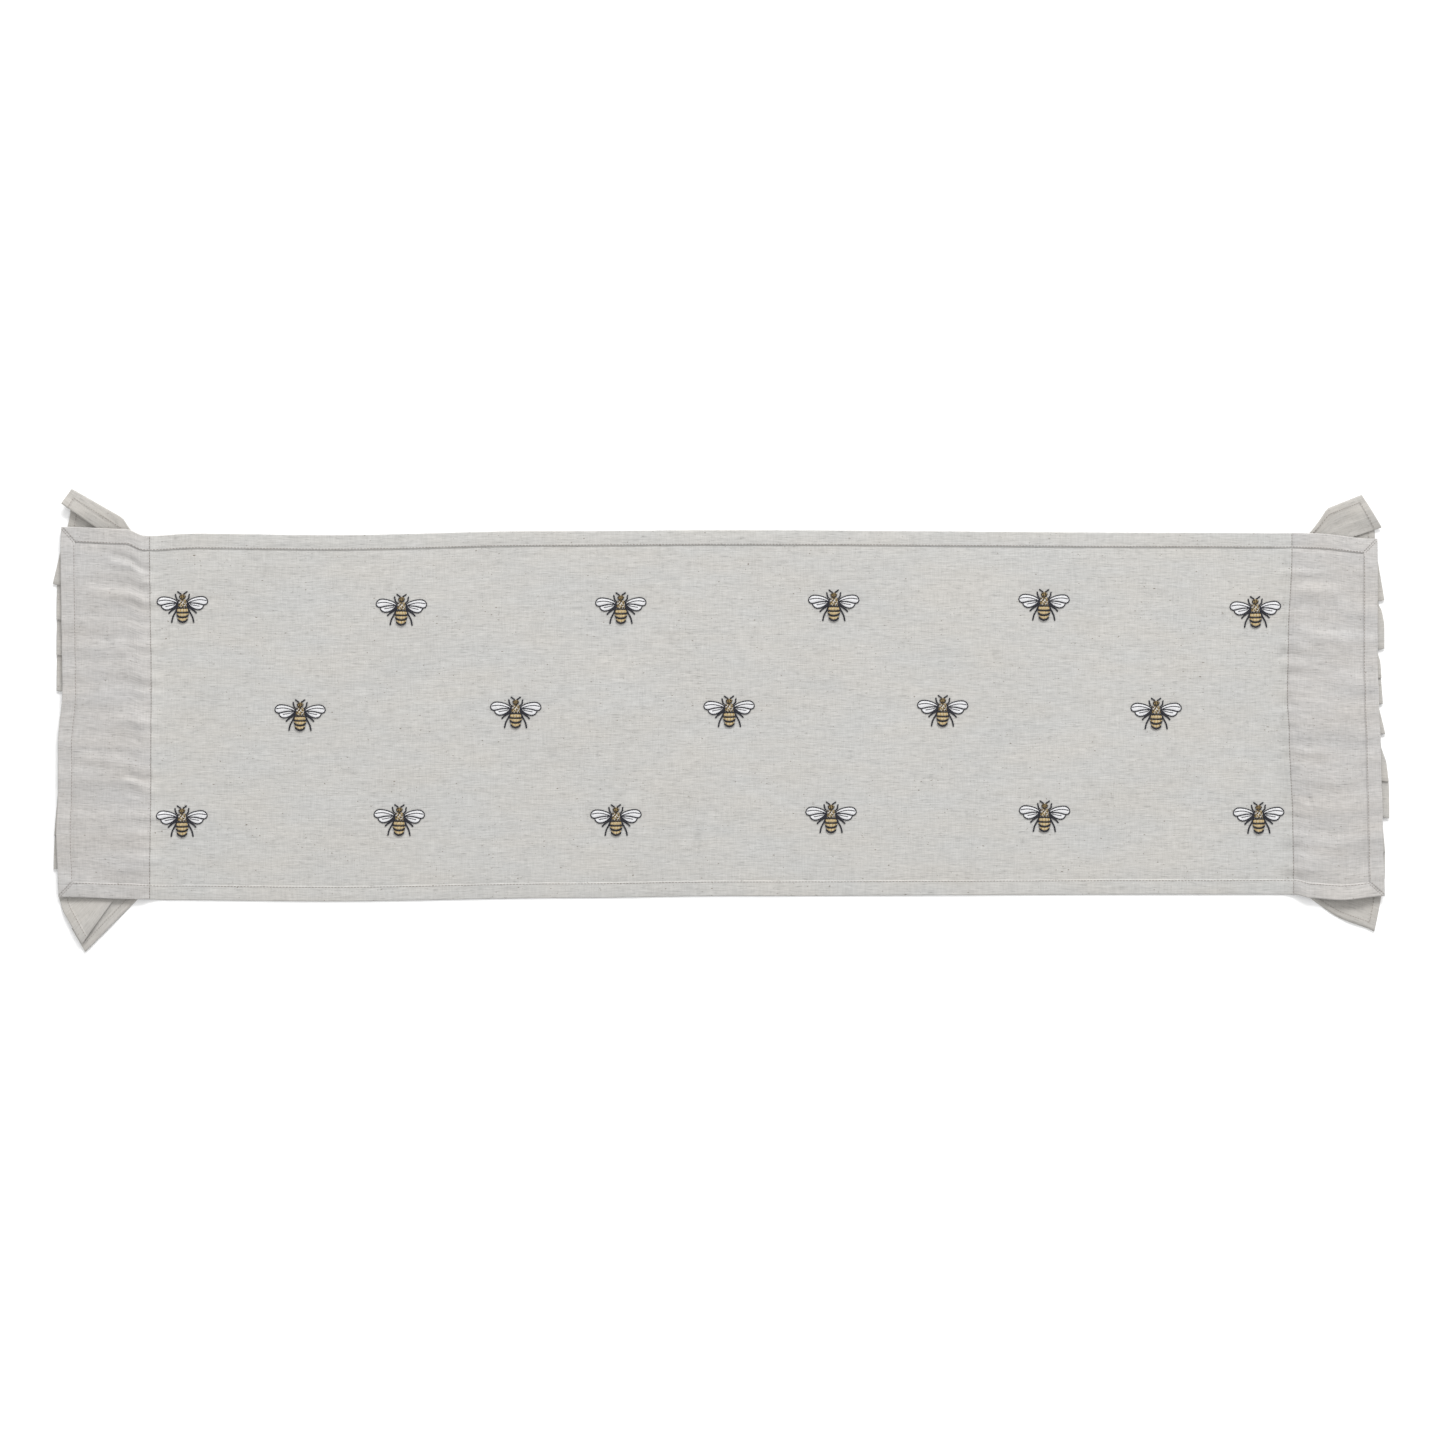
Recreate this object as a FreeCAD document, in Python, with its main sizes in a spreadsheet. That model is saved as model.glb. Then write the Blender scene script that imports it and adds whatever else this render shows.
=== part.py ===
import FreeCAD, Part

import math
import os
from types import SimpleNamespace

import Sketcher
from FreeCAD import Placement, Rotation, Vector

# Table runner: one long hemmed cloth with a gathered, hemmed ruffle sewn under each end and
# rows of embroidered bees on its face. Millimetres. +X runs along the cloth, +Y across it and
# +Z out of its face. The origin is the middle of the cloth's underside, where it meets a table.
# At each end the cloth beyond the ruffle's seam is a flap that lifts and drops about that seam.

SIZES = (
    # alias, millimetres, what it measures
    ("panel_length", 1056.0, "between the two ruffle seams"),
    ("runner_width", 339.0, "across the cloth, hem to hem"),
    ("flap_length", 85.0, "from a ruffle seam to the end of the cloth"),
    ("cloth_thick", 0.7, "one layer of the cloth"),
    ("hem_width", 14.0, "hem turned onto the face"),
    ("hem_rise", 1.0, "height of the hem above the cloth"),
    ("seam_thread_radius", 0.5, "ridge of stitches along a ruffle seam"),
    ("seam_gap", 0.3, "clearance between that ridge and the flap"),
    ("seam_relief", 4.0, "hems and ruffle stay this far from the seam"),
    ("ruffle_thick", 2.6, "gathered ruffle, pressed flat"),
    ("heading_thick", 1.0, "ruffle where it is gathered to the seam"),
    ("heading_run", 2.5, "length of that thin heading"),
    ("ramp_run", 4.0, "over which the ruffle fills out"),
    ("layer_gap", 0.6, "between the ruffle and the flap over it"),
    ("ruffle_peek", 4.0, "ruffle showing past the end of the flap"),
    ("ruffle_hem", 8.0, "hem along the ruffle's free edge"),
    ("tip_start", 17.0, "from the seam to where a corner tip comes out"),
    ("left_upper_tip_along", 72.0, "corner tips of the ruffles: from the seam"),
    ("left_upper_tip_reach", 38.0, "and out past the cloth's edge"),
    ("left_lower_tip_along", 60.0, ""),
    ("left_lower_tip_reach", 50.0, ""),
    ("right_upper_tip_along", 66.0, ""),
    ("right_upper_tip_reach", 34.0, ""),
    ("right_lower_tip_along", 77.0, ""),
    ("right_lower_tip_reach", 32.0, ""),
    ("thread_width", 0.6, "stitch line"),
    ("thread_rise", 0.3, "stitch line above what it is sewn on"),
    ("thread_inset", 1.2, "stitch line in from the inner edge of a hem"),
    ("bee_span", 47.4, "wing tip to wing tip"),
    ("bee_seam_margin", 32.0, "from a ruffle seam to the nearest bee's middle"),
    ("bee_edge_margin", 71.5, "from the cloth's edge to an outer row"),
    ("bee_middle_shift", 9.0, "middle row, off the half pitch"),
    ("wing_rise", 0.5, "wing satin stitch above the cloth"),
    ("body_rise", 0.9, "body satin stitch above the cloth"),
)

doc = FreeCAD.newDocument("table_runner")
parts = []


# ---------------------------------------------------------------- sizes

class Size:
    """A length together with the spreadsheet formula it comes from."""

    def __init__(self, number, formula):
        self.number = number
        self.formula = formula

    def join(self, sign, other, number):
        text = other.formula if isinstance(other, Size) else repr(float(other))
        return Size(number, "({} {} {})".format(self.formula, sign, text))

    def __add__(self, other):
        return self.join("+", other, self.number + plain(other))

    def __sub__(self, other):
        return self.join("-", other, self.number - plain(other))

    def __mul__(self, factor):
        return self.join("*", factor, self.number * factor)

    def __neg__(self):
        return self * -1.0


def plain(length):
    return length.number if isinstance(length, Size) else length


def make_sheet():
    sheet = doc.addObject("Spreadsheet::Sheet", "Sizes")
    for row, (alias, number, meaning) in enumerate(SIZES, start=1):
        sheet.set("A{}".format(row), str(number))
        sheet.setAlias("A{}".format(row), alias)
        sheet.set("B{}".format(row), meaning)
    doc.recompute()
    return {alias: Size(float(sheet.get(alias)), "Sizes." + alias) for alias, _, _ in SIZES}


size = SimpleNamespace(**make_sheet())
nought = Size(0.0, "0")
half_width = size.runner_width * 0.5
half_panel = size.panel_length * 0.5
cloth_top = size.cloth_thick
hem_top = size.cloth_thick + size.hem_rise
axis_height = size.cloth_thick

# Distances out from a ruffle seam, and the heights of the layers there.
flap_start = size.seam_thread_radius + size.seam_gap
heading_end = size.seam_relief + size.heading_run
ramp_end = heading_end + size.ramp_run
ruffle_end = size.flap_length + size.ruffle_peek
flap_under = size.ruffle_thick + size.layer_gap
flap_top = flap_under + size.cloth_thick
flap_hem_top = flap_top + size.hem_rise
hem_inner = size.flap_length - size.hem_width
thread_from_edge = size.hem_width - size.thread_inset


# ---------------------------------------------------------------- ways of making a piece

def new_body(name):
    body = doc.addObject("PartDesign::Body", name)
    body.Label = name
    parts.append(body)
    return body


def origin_plane(body, role):
    return next(plane for plane in body.Origin.OriginFeatures if plane.Role == role)


def outline(body, name, role, points, lift=nought):
    """A closed sketch on an origin plane, every corner tied to the spreadsheet."""
    sketch = body.newObject("Sketcher::SketchObject", name)
    sketch.AttachmentSupport = [(origin_plane(body, role), "")]
    sketch.MapMode = "FlatFace"
    sketch.setExpression("AttachmentOffset.Base.z", lift.formula)
    corners = [Vector(across.number, up.number, 0) for across, up in points]
    for index, corner in enumerate(corners):
        following = corners[(index + 1) % len(corners)]
        sketch.addGeometry(Part.LineSegment(corner, following), False)
    for index, (across, up) in enumerate(points):
        before = (index - 1) % len(points)
        sketch.addConstraint(Sketcher.Constraint("Coincident", before, 2, index, 1))
        for direction, length in (("X", across), ("Y", up)):
            number = sketch.addConstraint(
                Sketcher.Constraint("Distance" + direction, -1, 1, index, 1, length.number))
            label = "corner_{}_{}".format(index, direction.lower())
            sketch.renameConstraint(number, label)
            sketch.setExpression("Constraints." + label, length.formula)
    return sketch


def pad(body, sketch, length, centred=False):
    feature = body.newObject("PartDesign::Pad", sketch.Name + "_pad")
    feature.Profile = sketch
    feature.setExpression("Length", length.formula)
    feature.Midplane = centred
    body.Tip = feature
    return feature


def cut_across(body, sketch, length):
    """Cut a side profile out of the piece, as wide as length and centred on it."""
    feature = body.newObject("PartDesign::Pocket", sketch.Name + "_cut")
    feature.Profile = sketch
    feature.setExpression("Length", length.formula)
    feature.Midplane = True
    body.Tip = feature


def rectangle(low_x, low_y, high_x, high_y):
    return [(low_x, low_y), (high_x, low_y), (high_x, high_y), (low_x, high_y)]


def place_at_end(piece, side):
    """Pieces of an end are drawn with the seam at x = 0 and the flap along +X."""
    piece.Placement = Placement(Vector(), Rotation(Vector(0, 0, 1), 0 if side > 0 else 180))
    piece.setExpression("Placement.Base.x", (half_panel * side).formula)


def plate(name, points, lift, height, side=0):
    body = new_body(name)
    pad(body, outline(body, name + "_outline", "XY_Plane", points, lift), height)
    if side:
        place_at_end(body, side)
    return body


# ---------------------------------------------------------------- the cloth

def make_panel():
    """The cloth between the two seams, with its two long hems."""
    body = new_body("main_panel")
    cloth_end = half_panel - size.seam_thread_radius
    hem_end = half_panel - size.seam_relief
    cloth = rectangle(-cloth_end, -half_width, cloth_end, half_width)
    pad(body, outline(body, "panel_cloth", "XY_Plane", cloth), size.cloth_thick)
    hem = rectangle(-hem_end, half_width - size.hem_width, hem_end, half_width)
    upper = pad(body, outline(body, "panel_hem", "XY_Plane", hem, cloth_top), size.hem_rise)
    lower = body.newObject("PartDesign::Mirrored", "panel_hem_mirrored")
    lower.Originals = [upper]
    lower.MirrorPlane = (origin_plane(body, "XZ_Plane"), [""])
    body.Tip = lower


def make_flap(name, side):
    """The cloth beyond a seam: it climbs over the ruffle, and is hemmed on three sides."""
    body = new_body(name)
    start_under = axis_height
    profile = [
        (flap_start, start_under),
        (ramp_end, flap_under),
        (size.flap_length, flap_under),
        (size.flap_length, flap_hem_top),
        (ramp_end, flap_hem_top),
        (flap_start, start_under + hem_top),
    ]
    pad(body, outline(body, name + "_side", "XZ_Plane", profile), size.runner_width, True)
    field = [
        (flap_start, start_under + size.cloth_thick),
        (ramp_end, flap_top),
        (hem_inner, flap_top),
        (hem_inner, flap_hem_top + size.hem_rise),
        (flap_start, flap_hem_top + size.hem_rise),
    ]
    field_width = size.runner_width - size.hem_width * 2
    cut_across(body, outline(body, name + "_field", "XZ_Plane", field), field_width)
    ramp_slope = (flap_under.number - start_under.number) / (ramp_end.number - flap_start.number)
    relief_under = start_under + size.cloth_thick + (size.seam_relief - flap_start) * ramp_slope
    relief = [
        (flap_start, start_under + size.cloth_thick),
        (size.seam_relief, relief_under),
        (size.seam_relief, flap_hem_top),
        (flap_start, flap_hem_top),
    ]
    cut_across(body, outline(body, name + "_relief", "XZ_Plane", relief), size.runner_width * 2)
    place_at_end(body, side)


def make_ruffle(name, side, first_tip, second_tip):
    """A gathered strip under the flap. Its ends splay out past the cloth's two edges."""
    body = new_body(name)
    shoulder = size.tip_start
    rounding = size.ruffle_hem * 2

    def corner(tip, across):
        """The tip at one end of the strip, from the seam side round to the free edge."""
        along, reach = tip
        return [
            (shoulder, half_width * across),
            (along, (half_width + reach) * across),
            (along + size.ruffle_hem, (half_width + reach * 0.75) * across),
            (ruffle_end - size.ruffle_hem * 0.5, half_width * across),
            (ruffle_end, (half_width - rounding) * across),
        ]

    strip = [(size.seam_relief, half_width * -1.0 + size.ruffle_hem)]
    strip += corner(second_tip, -1.0)
    strip += reversed(corner(first_tip, 1.0))
    strip += [(size.seam_relief, half_width - size.ruffle_hem)]
    pad(body, outline(body, name + "_strip", "XY_Plane", strip), size.ruffle_thick)
    above = size.ruffle_thick + size.layer_gap
    thinned = [
        (nought, size.heading_thick),
        (heading_end, size.heading_thick),
        (ramp_end, size.ruffle_thick),
        (ramp_end, above),
        (nought, above),
    ]
    heading = outline(body, name + "_heading", "XZ_Plane", thinned)
    cut_across(body, heading, size.runner_width * 2)
    place_at_end(body, side)


# ---------------------------------------------------------------- stitching

def make_panel_threads():
    """The stitch line along each long hem of the panel."""
    run = half_panel - ramp_end
    near = half_width - thread_from_edge - size.thread_width
    for name, across in (("upper_hem_thread", 1.0), ("lower_hem_thread", -1.0)):
        low, high = sorted((near * across, (near + size.thread_width) * across), key=plain)
        plate(name, rectangle(-run, low, run, high), hem_top, size.thread_rise)


def make_seam_thread(name, side):
    """The ridge of stitches across the cloth, which the flap and the ruffle turn about."""
    ridge = doc.addObject("Part::Cylinder", name)
    ridge.Label = name
    ridge.setExpression("Radius", size.seam_thread_radius.formula)
    ridge.setExpression("Height", size.runner_width.formula)
    ridge.Placement = Placement(Vector(), Rotation(Vector(1, 0, 0), -90))
    ridge.setExpression("Placement.Base.x", (half_panel * side).formula)
    ridge.setExpression("Placement.Base.y", (-half_width).formula)
    ridge.setExpression("Placement.Base.z", axis_height.formula)
    parts.append(ridge)


def make_flap_hem_thread(name, side):
    """The stitch line round the three hemmed sides of a flap."""
    outer_x = size.flap_length - thread_from_edge
    outer_y = half_width - thread_from_edge
    inner_x = outer_x - size.thread_width
    inner_y = outer_y - size.thread_width
    line = [
        (ramp_end, -outer_y),
        (outer_x, -outer_y),
        (outer_x, outer_y),
        (ramp_end, outer_y),
        (ramp_end, inner_y),
        (inner_x, inner_y),
        (inner_x, -inner_y),
        (ramp_end, -inner_y),
    ]
    plate(name, line, flap_hem_top, size.thread_rise, side)


def make_mitre_thread(name, side, across):
    """The seam that closes the folded corner of two hems, from inside to the corner."""
    reach = size.hem_width - size.thread_inset - size.thread_width
    step = size.thread_width * math.sqrt(0.5)
    inner_x = size.flap_length - reach
    inner_y = half_width - reach
    line = [
        (inner_x + step, inner_y * across),
        (size.flap_length, (half_width - step) * across),
        (size.flap_length - step, half_width * across),
        (inner_x, (inner_y + step) * across),
    ]
    plate(name, line, flap_hem_top, size.thread_rise, side)


def make_ruffle_threads(end, side):
    """The gathering thread in the ruffle's heading and the stitch line of its hem."""
    half_line = half_width - size.ruffle_hem * 2
    gather_from = size.seam_relief + size.thread_width
    gather = rectangle(gather_from, -half_line, gather_from + size.thread_width, half_line)
    plate(end + "_gathering_thread", gather, size.heading_thick, size.thread_rise, side)
    hem_from = ruffle_end - size.ruffle_hem
    hem = rectangle(hem_from, -half_line, hem_from + size.thread_width, half_line)
    plate(end + "_ruffle_hem_thread", hem, size.ruffle_thick, size.thread_rise, side)


# ---------------------------------------------------------------- bees

# One bee is drawn about the middle of its thorax, head towards +Y, for this wing span.
DRAWN_SPAN = 47.4
LEG_WIDTH = 0.7
FORE_WING = ((4.9, 2.6), (6.7, 4.4), (11.7, 7.2), (17.7, 8.1), (21.2, 6.5), (23.7, 3.0), (21.9, 0.6))
HIND_WING = ((19.0, 0.2), (18.4, -1.8), (15.6, -3.8), (12.4, -3.2), (7.2, -0.9), (4.9, 0.8))
ABDOMEN = ((2.6, -1.6), (5.2, -4.0), (5.2, -6.8), (4.3, -11.0), (2.6, -14.2), (0.0, -15.4))
HEAD = (8.2, 2.7, 2.8)
THORAX = (1.7, 4.3, 4.2)
ANTENNA = ((1.2, 10.4), (2.2, 12.0), (4.0, 13.2))
FORE_LEG = ((3.6, 4.6), (6.0, 7.7), (4.4, 9.8), (5.6, 11.2))
MID_LEG = ((4.6, -2.6), (8.2, -4.6), (13.2, -7.7))
HIND_LEG = ((4.8, -5.2), (9.0, -10.8), (9.9, -15.2))
# How far, in millimetres along and across its row, each bee sits off its even place.
OFF_PITCH = {
    "upper": ((-1.0, 1.5), (3.0, -1.0), (7.5, 0.5), (6.0, 3.0), (2.0, 3.5), (-1.0, -3.0)),
    "middle": ((-0.5, -0.5), (0.5, 2.0), (-0.5, 3.0), (-1.5, 3.5), (-2.5, 1.0)),
    "lower": ((-1.5, -0.5), (1.0, 0.5), (3.0, 0.5), (3.5, 3.0), (2.5, 4.0), (2.0, 2.5)),
}


def drawn(points, mirror=1.0):
    scale = size.bee_span.number / DRAWN_SPAN
    return [Vector(x * mirror * scale, y * scale, 0) for x, y in points]


def raised(wires, rise):
    """Solids that stand on the cloth, rise millimetres tall, from flat closed wires."""
    solids = []
    for wire in wires:
        solids.append(Part.Face(wire).extrude(Vector(0, 0, rise)))
    return solids


def closed_curve(points):
    curve = Part.BSplineCurve()
    curve.interpolate(Points=points, PeriodicFlag=True)
    return Part.Wire(curve.toShape())


def oval(middle, half_x, half_y):
    """An oval of two half-widths, its middle on the bee's axis."""
    scale = size.bee_span.number / DRAWN_SPAN
    return closed_curve([
        Vector(half_x * scale * math.cos(turn), (middle + half_y * math.sin(turn)) * scale, 0)
        for turn in (math.radians(step * 45.0) for step in range(8))])


def leg(points, rise):
    """A line of thread through points: a strip on each run and a round at each bend."""
    half = LEG_WIDTH * 0.5
    solids = []
    for start, finish in zip(points, points[1:]):
        side = (finish - start).cross(Vector(0, 0, 1)).normalize() * half
        corners = [start + side, finish + side, finish - side, start - side, start + side]
        solids.append(Part.Face(Part.makePolygon(corners)).extrude(Vector(0, 0, rise)))
    for bend in points:
        solids.append(Part.makeCylinder(half, rise, bend))
    return solids


def draw_wings():
    plates = []
    for mirror in (-1.0, 1.0):
        around = drawn(FORE_WING + HIND_WING, mirror)
        plates += raised([closed_curve(around)], size.wing_rise.number)
    return Part.Compound(plates)


def draw_body():
    rise = size.body_rise.number
    right = list(ABDOMEN)
    left = [(-x, y) for x, y in reversed(ABDOMEN[:-1])]
    solids = raised([closed_curve(drawn(right + left)), oval(*HEAD), oval(*THORAX)], rise)
    for mirror in (-1.0, 1.0):
        for line in (ANTENNA, FORE_LEG, MID_LEG, HIND_LEG):
            solids += leg(drawn(line, mirror), size.thread_rise.number)
    return solids[0].multiFuse(solids[1:]).removeSplitter()


def bee_places():
    """Six bees in each outer row, and five between them in the middle row."""
    rows = (("upper", 1.0, 0.0), ("middle", 0.0, size.bee_middle_shift.number), ("lower", -1.0, 0.0))
    row_length = size.panel_length.number - size.bee_seam_margin.number * 2
    pitch = row_length / (len(OFF_PITCH["upper"]) - 1)
    row_pitch = half_width.number - size.bee_edge_margin.number
    for row, across, shift in rows:
        offs = OFF_PITCH[row]
        for index, (off_along, off_across) in enumerate(offs):
            along = (index - (len(offs) - 1) * 0.5) * pitch + shift
            yield Vector(along + off_along, across * row_pitch + off_across, cloth_top.number)


def make_bees():
    drawings = (("wings", draw_wings()), ("body", draw_body()))
    for number, place in enumerate(bee_places(), start=1):
        for what, shape in drawings:
            name = "bee_{:02d}_{}".format(number, what)
            thread = doc.addObject("Part::Feature", name)
            thread.Label = name
            thread.Shape = shape
            thread.Placement = Placement(place, Rotation())
            parts.append(thread)


# ---------------------------------------------------------------- assembly

def tips(end):
    """The two corner tips of an end, each as its place along the flap and its reach."""
    found = {}
    for corner in ("upper", "lower"):
        along = getattr(size, "{}_{}_tip_along".format(end, corner))
        reach = getattr(size, "{}_{}_tip_reach".format(end, corner))
        found[corner] = (along, reach)
    return found


def make_end(end, side):
    make_flap(end + "_flap", side)
    corner = tips(end)
    # Turning the left end round puts its upper corner at the drawing's lower side.
    order = ("upper", "lower") if side > 0 else ("lower", "upper")
    make_ruffle(end + "_ruffle", side, corner[order[0]], corner[order[1]])
    make_seam_thread(end + "_seam_thread", side)
    make_flap_hem_thread(end + "_flap_hem_thread", side)
    make_mitre_thread("{}_{}_mitre_thread".format(end, order[0]), side, 1.0)
    make_mitre_thread("{}_{}_mitre_thread".format(end, order[1]), side, -1.0)
    make_ruffle_threads(end, side)


def check_document():
    for item in doc.Objects:
        bad = [state for state in item.State if state in ("Invalid", "Error")]
        if bad:
            raise RuntimeError("{} is {}".format(item.Label, bad))
    for piece in parts:
        if piece.Shape.isNull() or not piece.Shape.isValid() or not piece.Shape.Solids:
            raise RuntimeError("{} has no valid solid".format(piece.Label))


def write_parts():
    os.makedirs("parts", exist_ok=True)
    for piece in parts:
        piece.Shape.exportStep(os.path.join("parts", piece.Label + ".step"))
        print("{:28s} {:2d} solid {:10.1f} mm3".format(
            piece.Label, len(piece.Shape.Solids), piece.Shape.Volume))


make_panel()
make_panel_threads()
make_end("left", -1.0)
make_end("right", 1.0)
make_bees()
doc.recompute()
check_document()
write_parts()
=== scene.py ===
"""Table runner: hemmed linen cloth, a gathered ruffle under each end, and embroidered bees."""

import bisect
import math

import bmesh
import bpy
from bpy.props import FloatProperty, FloatVectorProperty, PointerProperty
from mathutils import Matrix, Vector, noise


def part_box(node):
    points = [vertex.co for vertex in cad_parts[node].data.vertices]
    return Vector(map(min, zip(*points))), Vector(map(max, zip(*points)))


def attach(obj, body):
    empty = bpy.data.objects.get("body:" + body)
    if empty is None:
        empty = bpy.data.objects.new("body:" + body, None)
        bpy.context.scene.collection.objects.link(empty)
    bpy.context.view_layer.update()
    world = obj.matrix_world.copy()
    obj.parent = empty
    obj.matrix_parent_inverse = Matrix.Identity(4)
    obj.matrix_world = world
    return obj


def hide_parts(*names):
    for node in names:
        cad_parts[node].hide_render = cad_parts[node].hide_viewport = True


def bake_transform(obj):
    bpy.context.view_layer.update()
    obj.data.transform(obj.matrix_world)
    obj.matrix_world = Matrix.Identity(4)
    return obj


bl_info = {
    "name": "Table Runner",
    "version": (1, 0, 0),
    "blender": (4, 5, 0),
    "location": "View3D > Sidebar > Table Runner",
    "description": "Makes a ruffled linen table runner with embroidered bees",
    "category": "Add Mesh",
}

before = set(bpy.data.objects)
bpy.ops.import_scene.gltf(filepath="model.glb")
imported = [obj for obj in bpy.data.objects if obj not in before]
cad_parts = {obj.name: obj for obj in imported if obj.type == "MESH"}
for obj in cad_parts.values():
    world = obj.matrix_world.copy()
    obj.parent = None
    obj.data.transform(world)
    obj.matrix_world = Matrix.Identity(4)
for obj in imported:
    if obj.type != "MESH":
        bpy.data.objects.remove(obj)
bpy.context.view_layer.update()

MM = 0.001
UPRIGHT = Vector((0.0, 0.0, 1.0))

# ---------------------------------------------------------------- places read from the frame

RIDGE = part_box("right_seam_thread")
SEAM = (RIDGE[0].x + RIDGE[1].x) * 0.5
HALF_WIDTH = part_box("main_panel")[1].y
FLAP_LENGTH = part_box("right_flap")[1].x - SEAM
RUFFLE_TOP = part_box("right_ruffle")[1].z
ROOT = "panel_body"
ENDS = {"left": -1, "right": 1}

# How far each edge of the cloth stands out from its true line, in millimetres, at places
# along the runner (the two long edges) or across it (the two ends and the two seams).
UPPER_EDGE = (
    (-609, 3.5), (-551, 1.6), (-532, -4.8), (-486, -2.5), (-361, -3.9), (-163, -0.2), (9, 0.7),
    (425, -1.6), (529, -2.1), (550, -2.6), (608, -7.4),
)
LOWER_EDGE = (
    (-607, -0.2), (-545, 1.6), (-514, 2.6), (-361, 3.9), (-138, 0.7), (9, -1.1), (425, -2.5),
    (530, -2.5), (544, 0.7), (573, 2.5), (612, -1.1),
)
END_EDGE = {
    "left": ((-170, -1.6), (-110, 0.3), (-68, -1.3), (-27, -1.3), (16, -5.3), (156, -3.5), (173, -4.3)),
    "right": ((-168, 1.2), (-126, 0.0), (-105, -0.6), (-24, -2.5), (9, -4.0), (55, -5.3), (162, -5.3)),
}
SEAM_LINE = {
    "left": ((-170, -0.4), (-60, -1.6), (40, -2.0), (100, -1.0), (160, -0.4)),
    "right": ((-140, 2.2), (-105, 1.6), (-19, -1.7), (13, -3.4), (68, -2.6), (152, 0.9)),
}

# Each ruffle is one strip laid in pleats from its upper corner to its lower one. A run is a
# length that lies forward: its free edge as points (out from the seam, up the cloth) in
# millimetres, then where it starts and ends at the gathered heading. Between two runs the strip
# folds back underneath.
RUNS = {
    "left": (
        (((71, 208), (80, 195)), 162, 144),
        (((73, 202), (72.3, 188), (75, 174), (81, 155), (85, 136), (88.7, 121)), 158, 107),
        (((85.3, 131), (85.3, 117), (85.3, 88)), 118, 77),
        (((84.5, 97), (85.3, 85), (85.3, 55)), 88, 48),
        (((84.8, 64), (85.3, 52), (85.2, 22)), 59, 18),
        (((79, 31), (79.7, 19), (83, -12)), 29, -11),
        (((82.5, -3), (83.7, -15), (83.7, -45)), 0, -39),
        (((83.2, -36), (83.7, -48), (84, -76)), -28, -66),
        (((83.5, -67), (85, -80), (87.5, -112)), -55, -97),
        (((86, -103), (87.5, -116), (88, -143)), -86, -122),
        (((84, -134), (84, -147), (83.7, -168), (80, -181), (62, -212)), -111, -138),
        (((71, -199), (58.9, -220)), -127, -170),
    ),
    "right": (
        (((64.9, 202.6), (83.4, 173)), 160, 147),
        (((76, 182), (77.9, 163), (80, 143), (86.2, 106)), 158, 92),
        (((80, 114), (80.5, 102), (84, 96), (86.2, 84), (86.2, 61)), 103, 53),
        (((79, 70), (79.7, 58), (82.5, 49), (83.5, 34)), 64, 30),
        (((82, 43), (83.5, 31), (84.8, 10)), 41, 9),
        (((80.5, 19), (81, 7), (84, -5), (87, -18)), 20, -16),
        (((81.5, -9), (82.5, -21), (83.5, -31), (88, -44), (90.2, -62)), -5, -54),
        (((89, -53), (90.7, -66), (90.7, -96)), -43, -83),
        (((83.8, -87), (84.5, -99), (85.2, -108), (87, -128)), -72, -111),
        (((86, -119), (87, -131), (86.5, -152)), -100, -132),
        (((84, -142), (84, -160), (83.4, -170), (77, -201.2)), -121, -165),
    ),
}
# At each corner, upper then lower: how far the tip lifts off the table, how far its short end
# swells outwards, both in millimetres, where the swelling is as a share of the way to the free
# edge, and how sharp its shoulder is.
TIPS = {
    "left": ((5.2, 8.0, 0.24, 1.0), (2.6, 0.0, 0.5, 0.0)),
    "right": ((4.4, 11.5, 0.43, 1.0), (0.8, 4.5, 0.5, 0.0)),
}
# A crease in a ruffle's own corner, as in CREASES below.
RUFFLE_CREASES = (
    ("right", (32, 166), (58, 179), 1.1, 3.4),
    ("left", (40, -178), (66, -196), 0.5, 5.0),
    ("right", (50, -176), (66, -188), 0.6, 5.0),
)
# Creases in the cloth near a ruffle seam: the end, two places (out from the seam, up the cloth),
# how deep and how wide, in millimetres.
CREASES = (
    ("left", (36, 142), (1, 135), 1.9, 4.6),
    ("left", (22, 129), (-3, 128), 0.9, 4.0),
    ("left", (62, 116), (20, 113), 0.75, 7.0),
    ("left", (60, 62), (12, 66), 0.7, 7.0),
    ("left", (66, -38), (10, -41), 0.95, 6.0),
    ("left", (24, -58), (-4, -65), 1.1, 4.0),
    ("left", (50, -90), (-30, -84), 0.7, 9.0),
    ("right", (18, 79), (56, 76), 0.6, 7.0),
    ("right", (2, 118), (48, 122), 0.5, 7.0),
    ("right", (4, 30), (60, 22), 0.5, 7.0),
    ("right", (14.5, -50), (16, -74), -0.8, 1.8),
    ("right", (16, -74), (22, -90), -0.8, 1.8),
    ("right", (10, -118), (60, -112), 0.5, 8.0),
)
# Where a flap's lower edge arches off the ruffle: how far out from the seam, how wide and how
# high, in millimetres.
ARCHES = {"right": (53.0, 25.0, 3.4)}
# How far the puckers reach from the seam, into the flap and into the panel.
PUCKERS = (26.0 * MM, 9.0 * MM)
# Room between the ruffle and the flap that lies on it.
CLEARANCE = 0.9 * MM
# How far the stitches and the bees stand out of the cloth's face.
STITCH_RISE = 0.08 * MM
BEE_RISE = 0.03 * MM
# The cloth's mesh is finer this near to a ruffle seam, on the panel and on the flap.
FINE_PANEL = 24.0 * MM
FINE_FLAP = 12.0 * MM


# ---------------------------------------------------------------- settings

def length(name, description, default):
    return FloatProperty(name=name, description=description, default=default, min=0.0, unit="LENGTH")


def amount(name, description, default, unit="NONE"):
    return FloatProperty(name=name, description=description, default=default, unit=unit)


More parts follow.
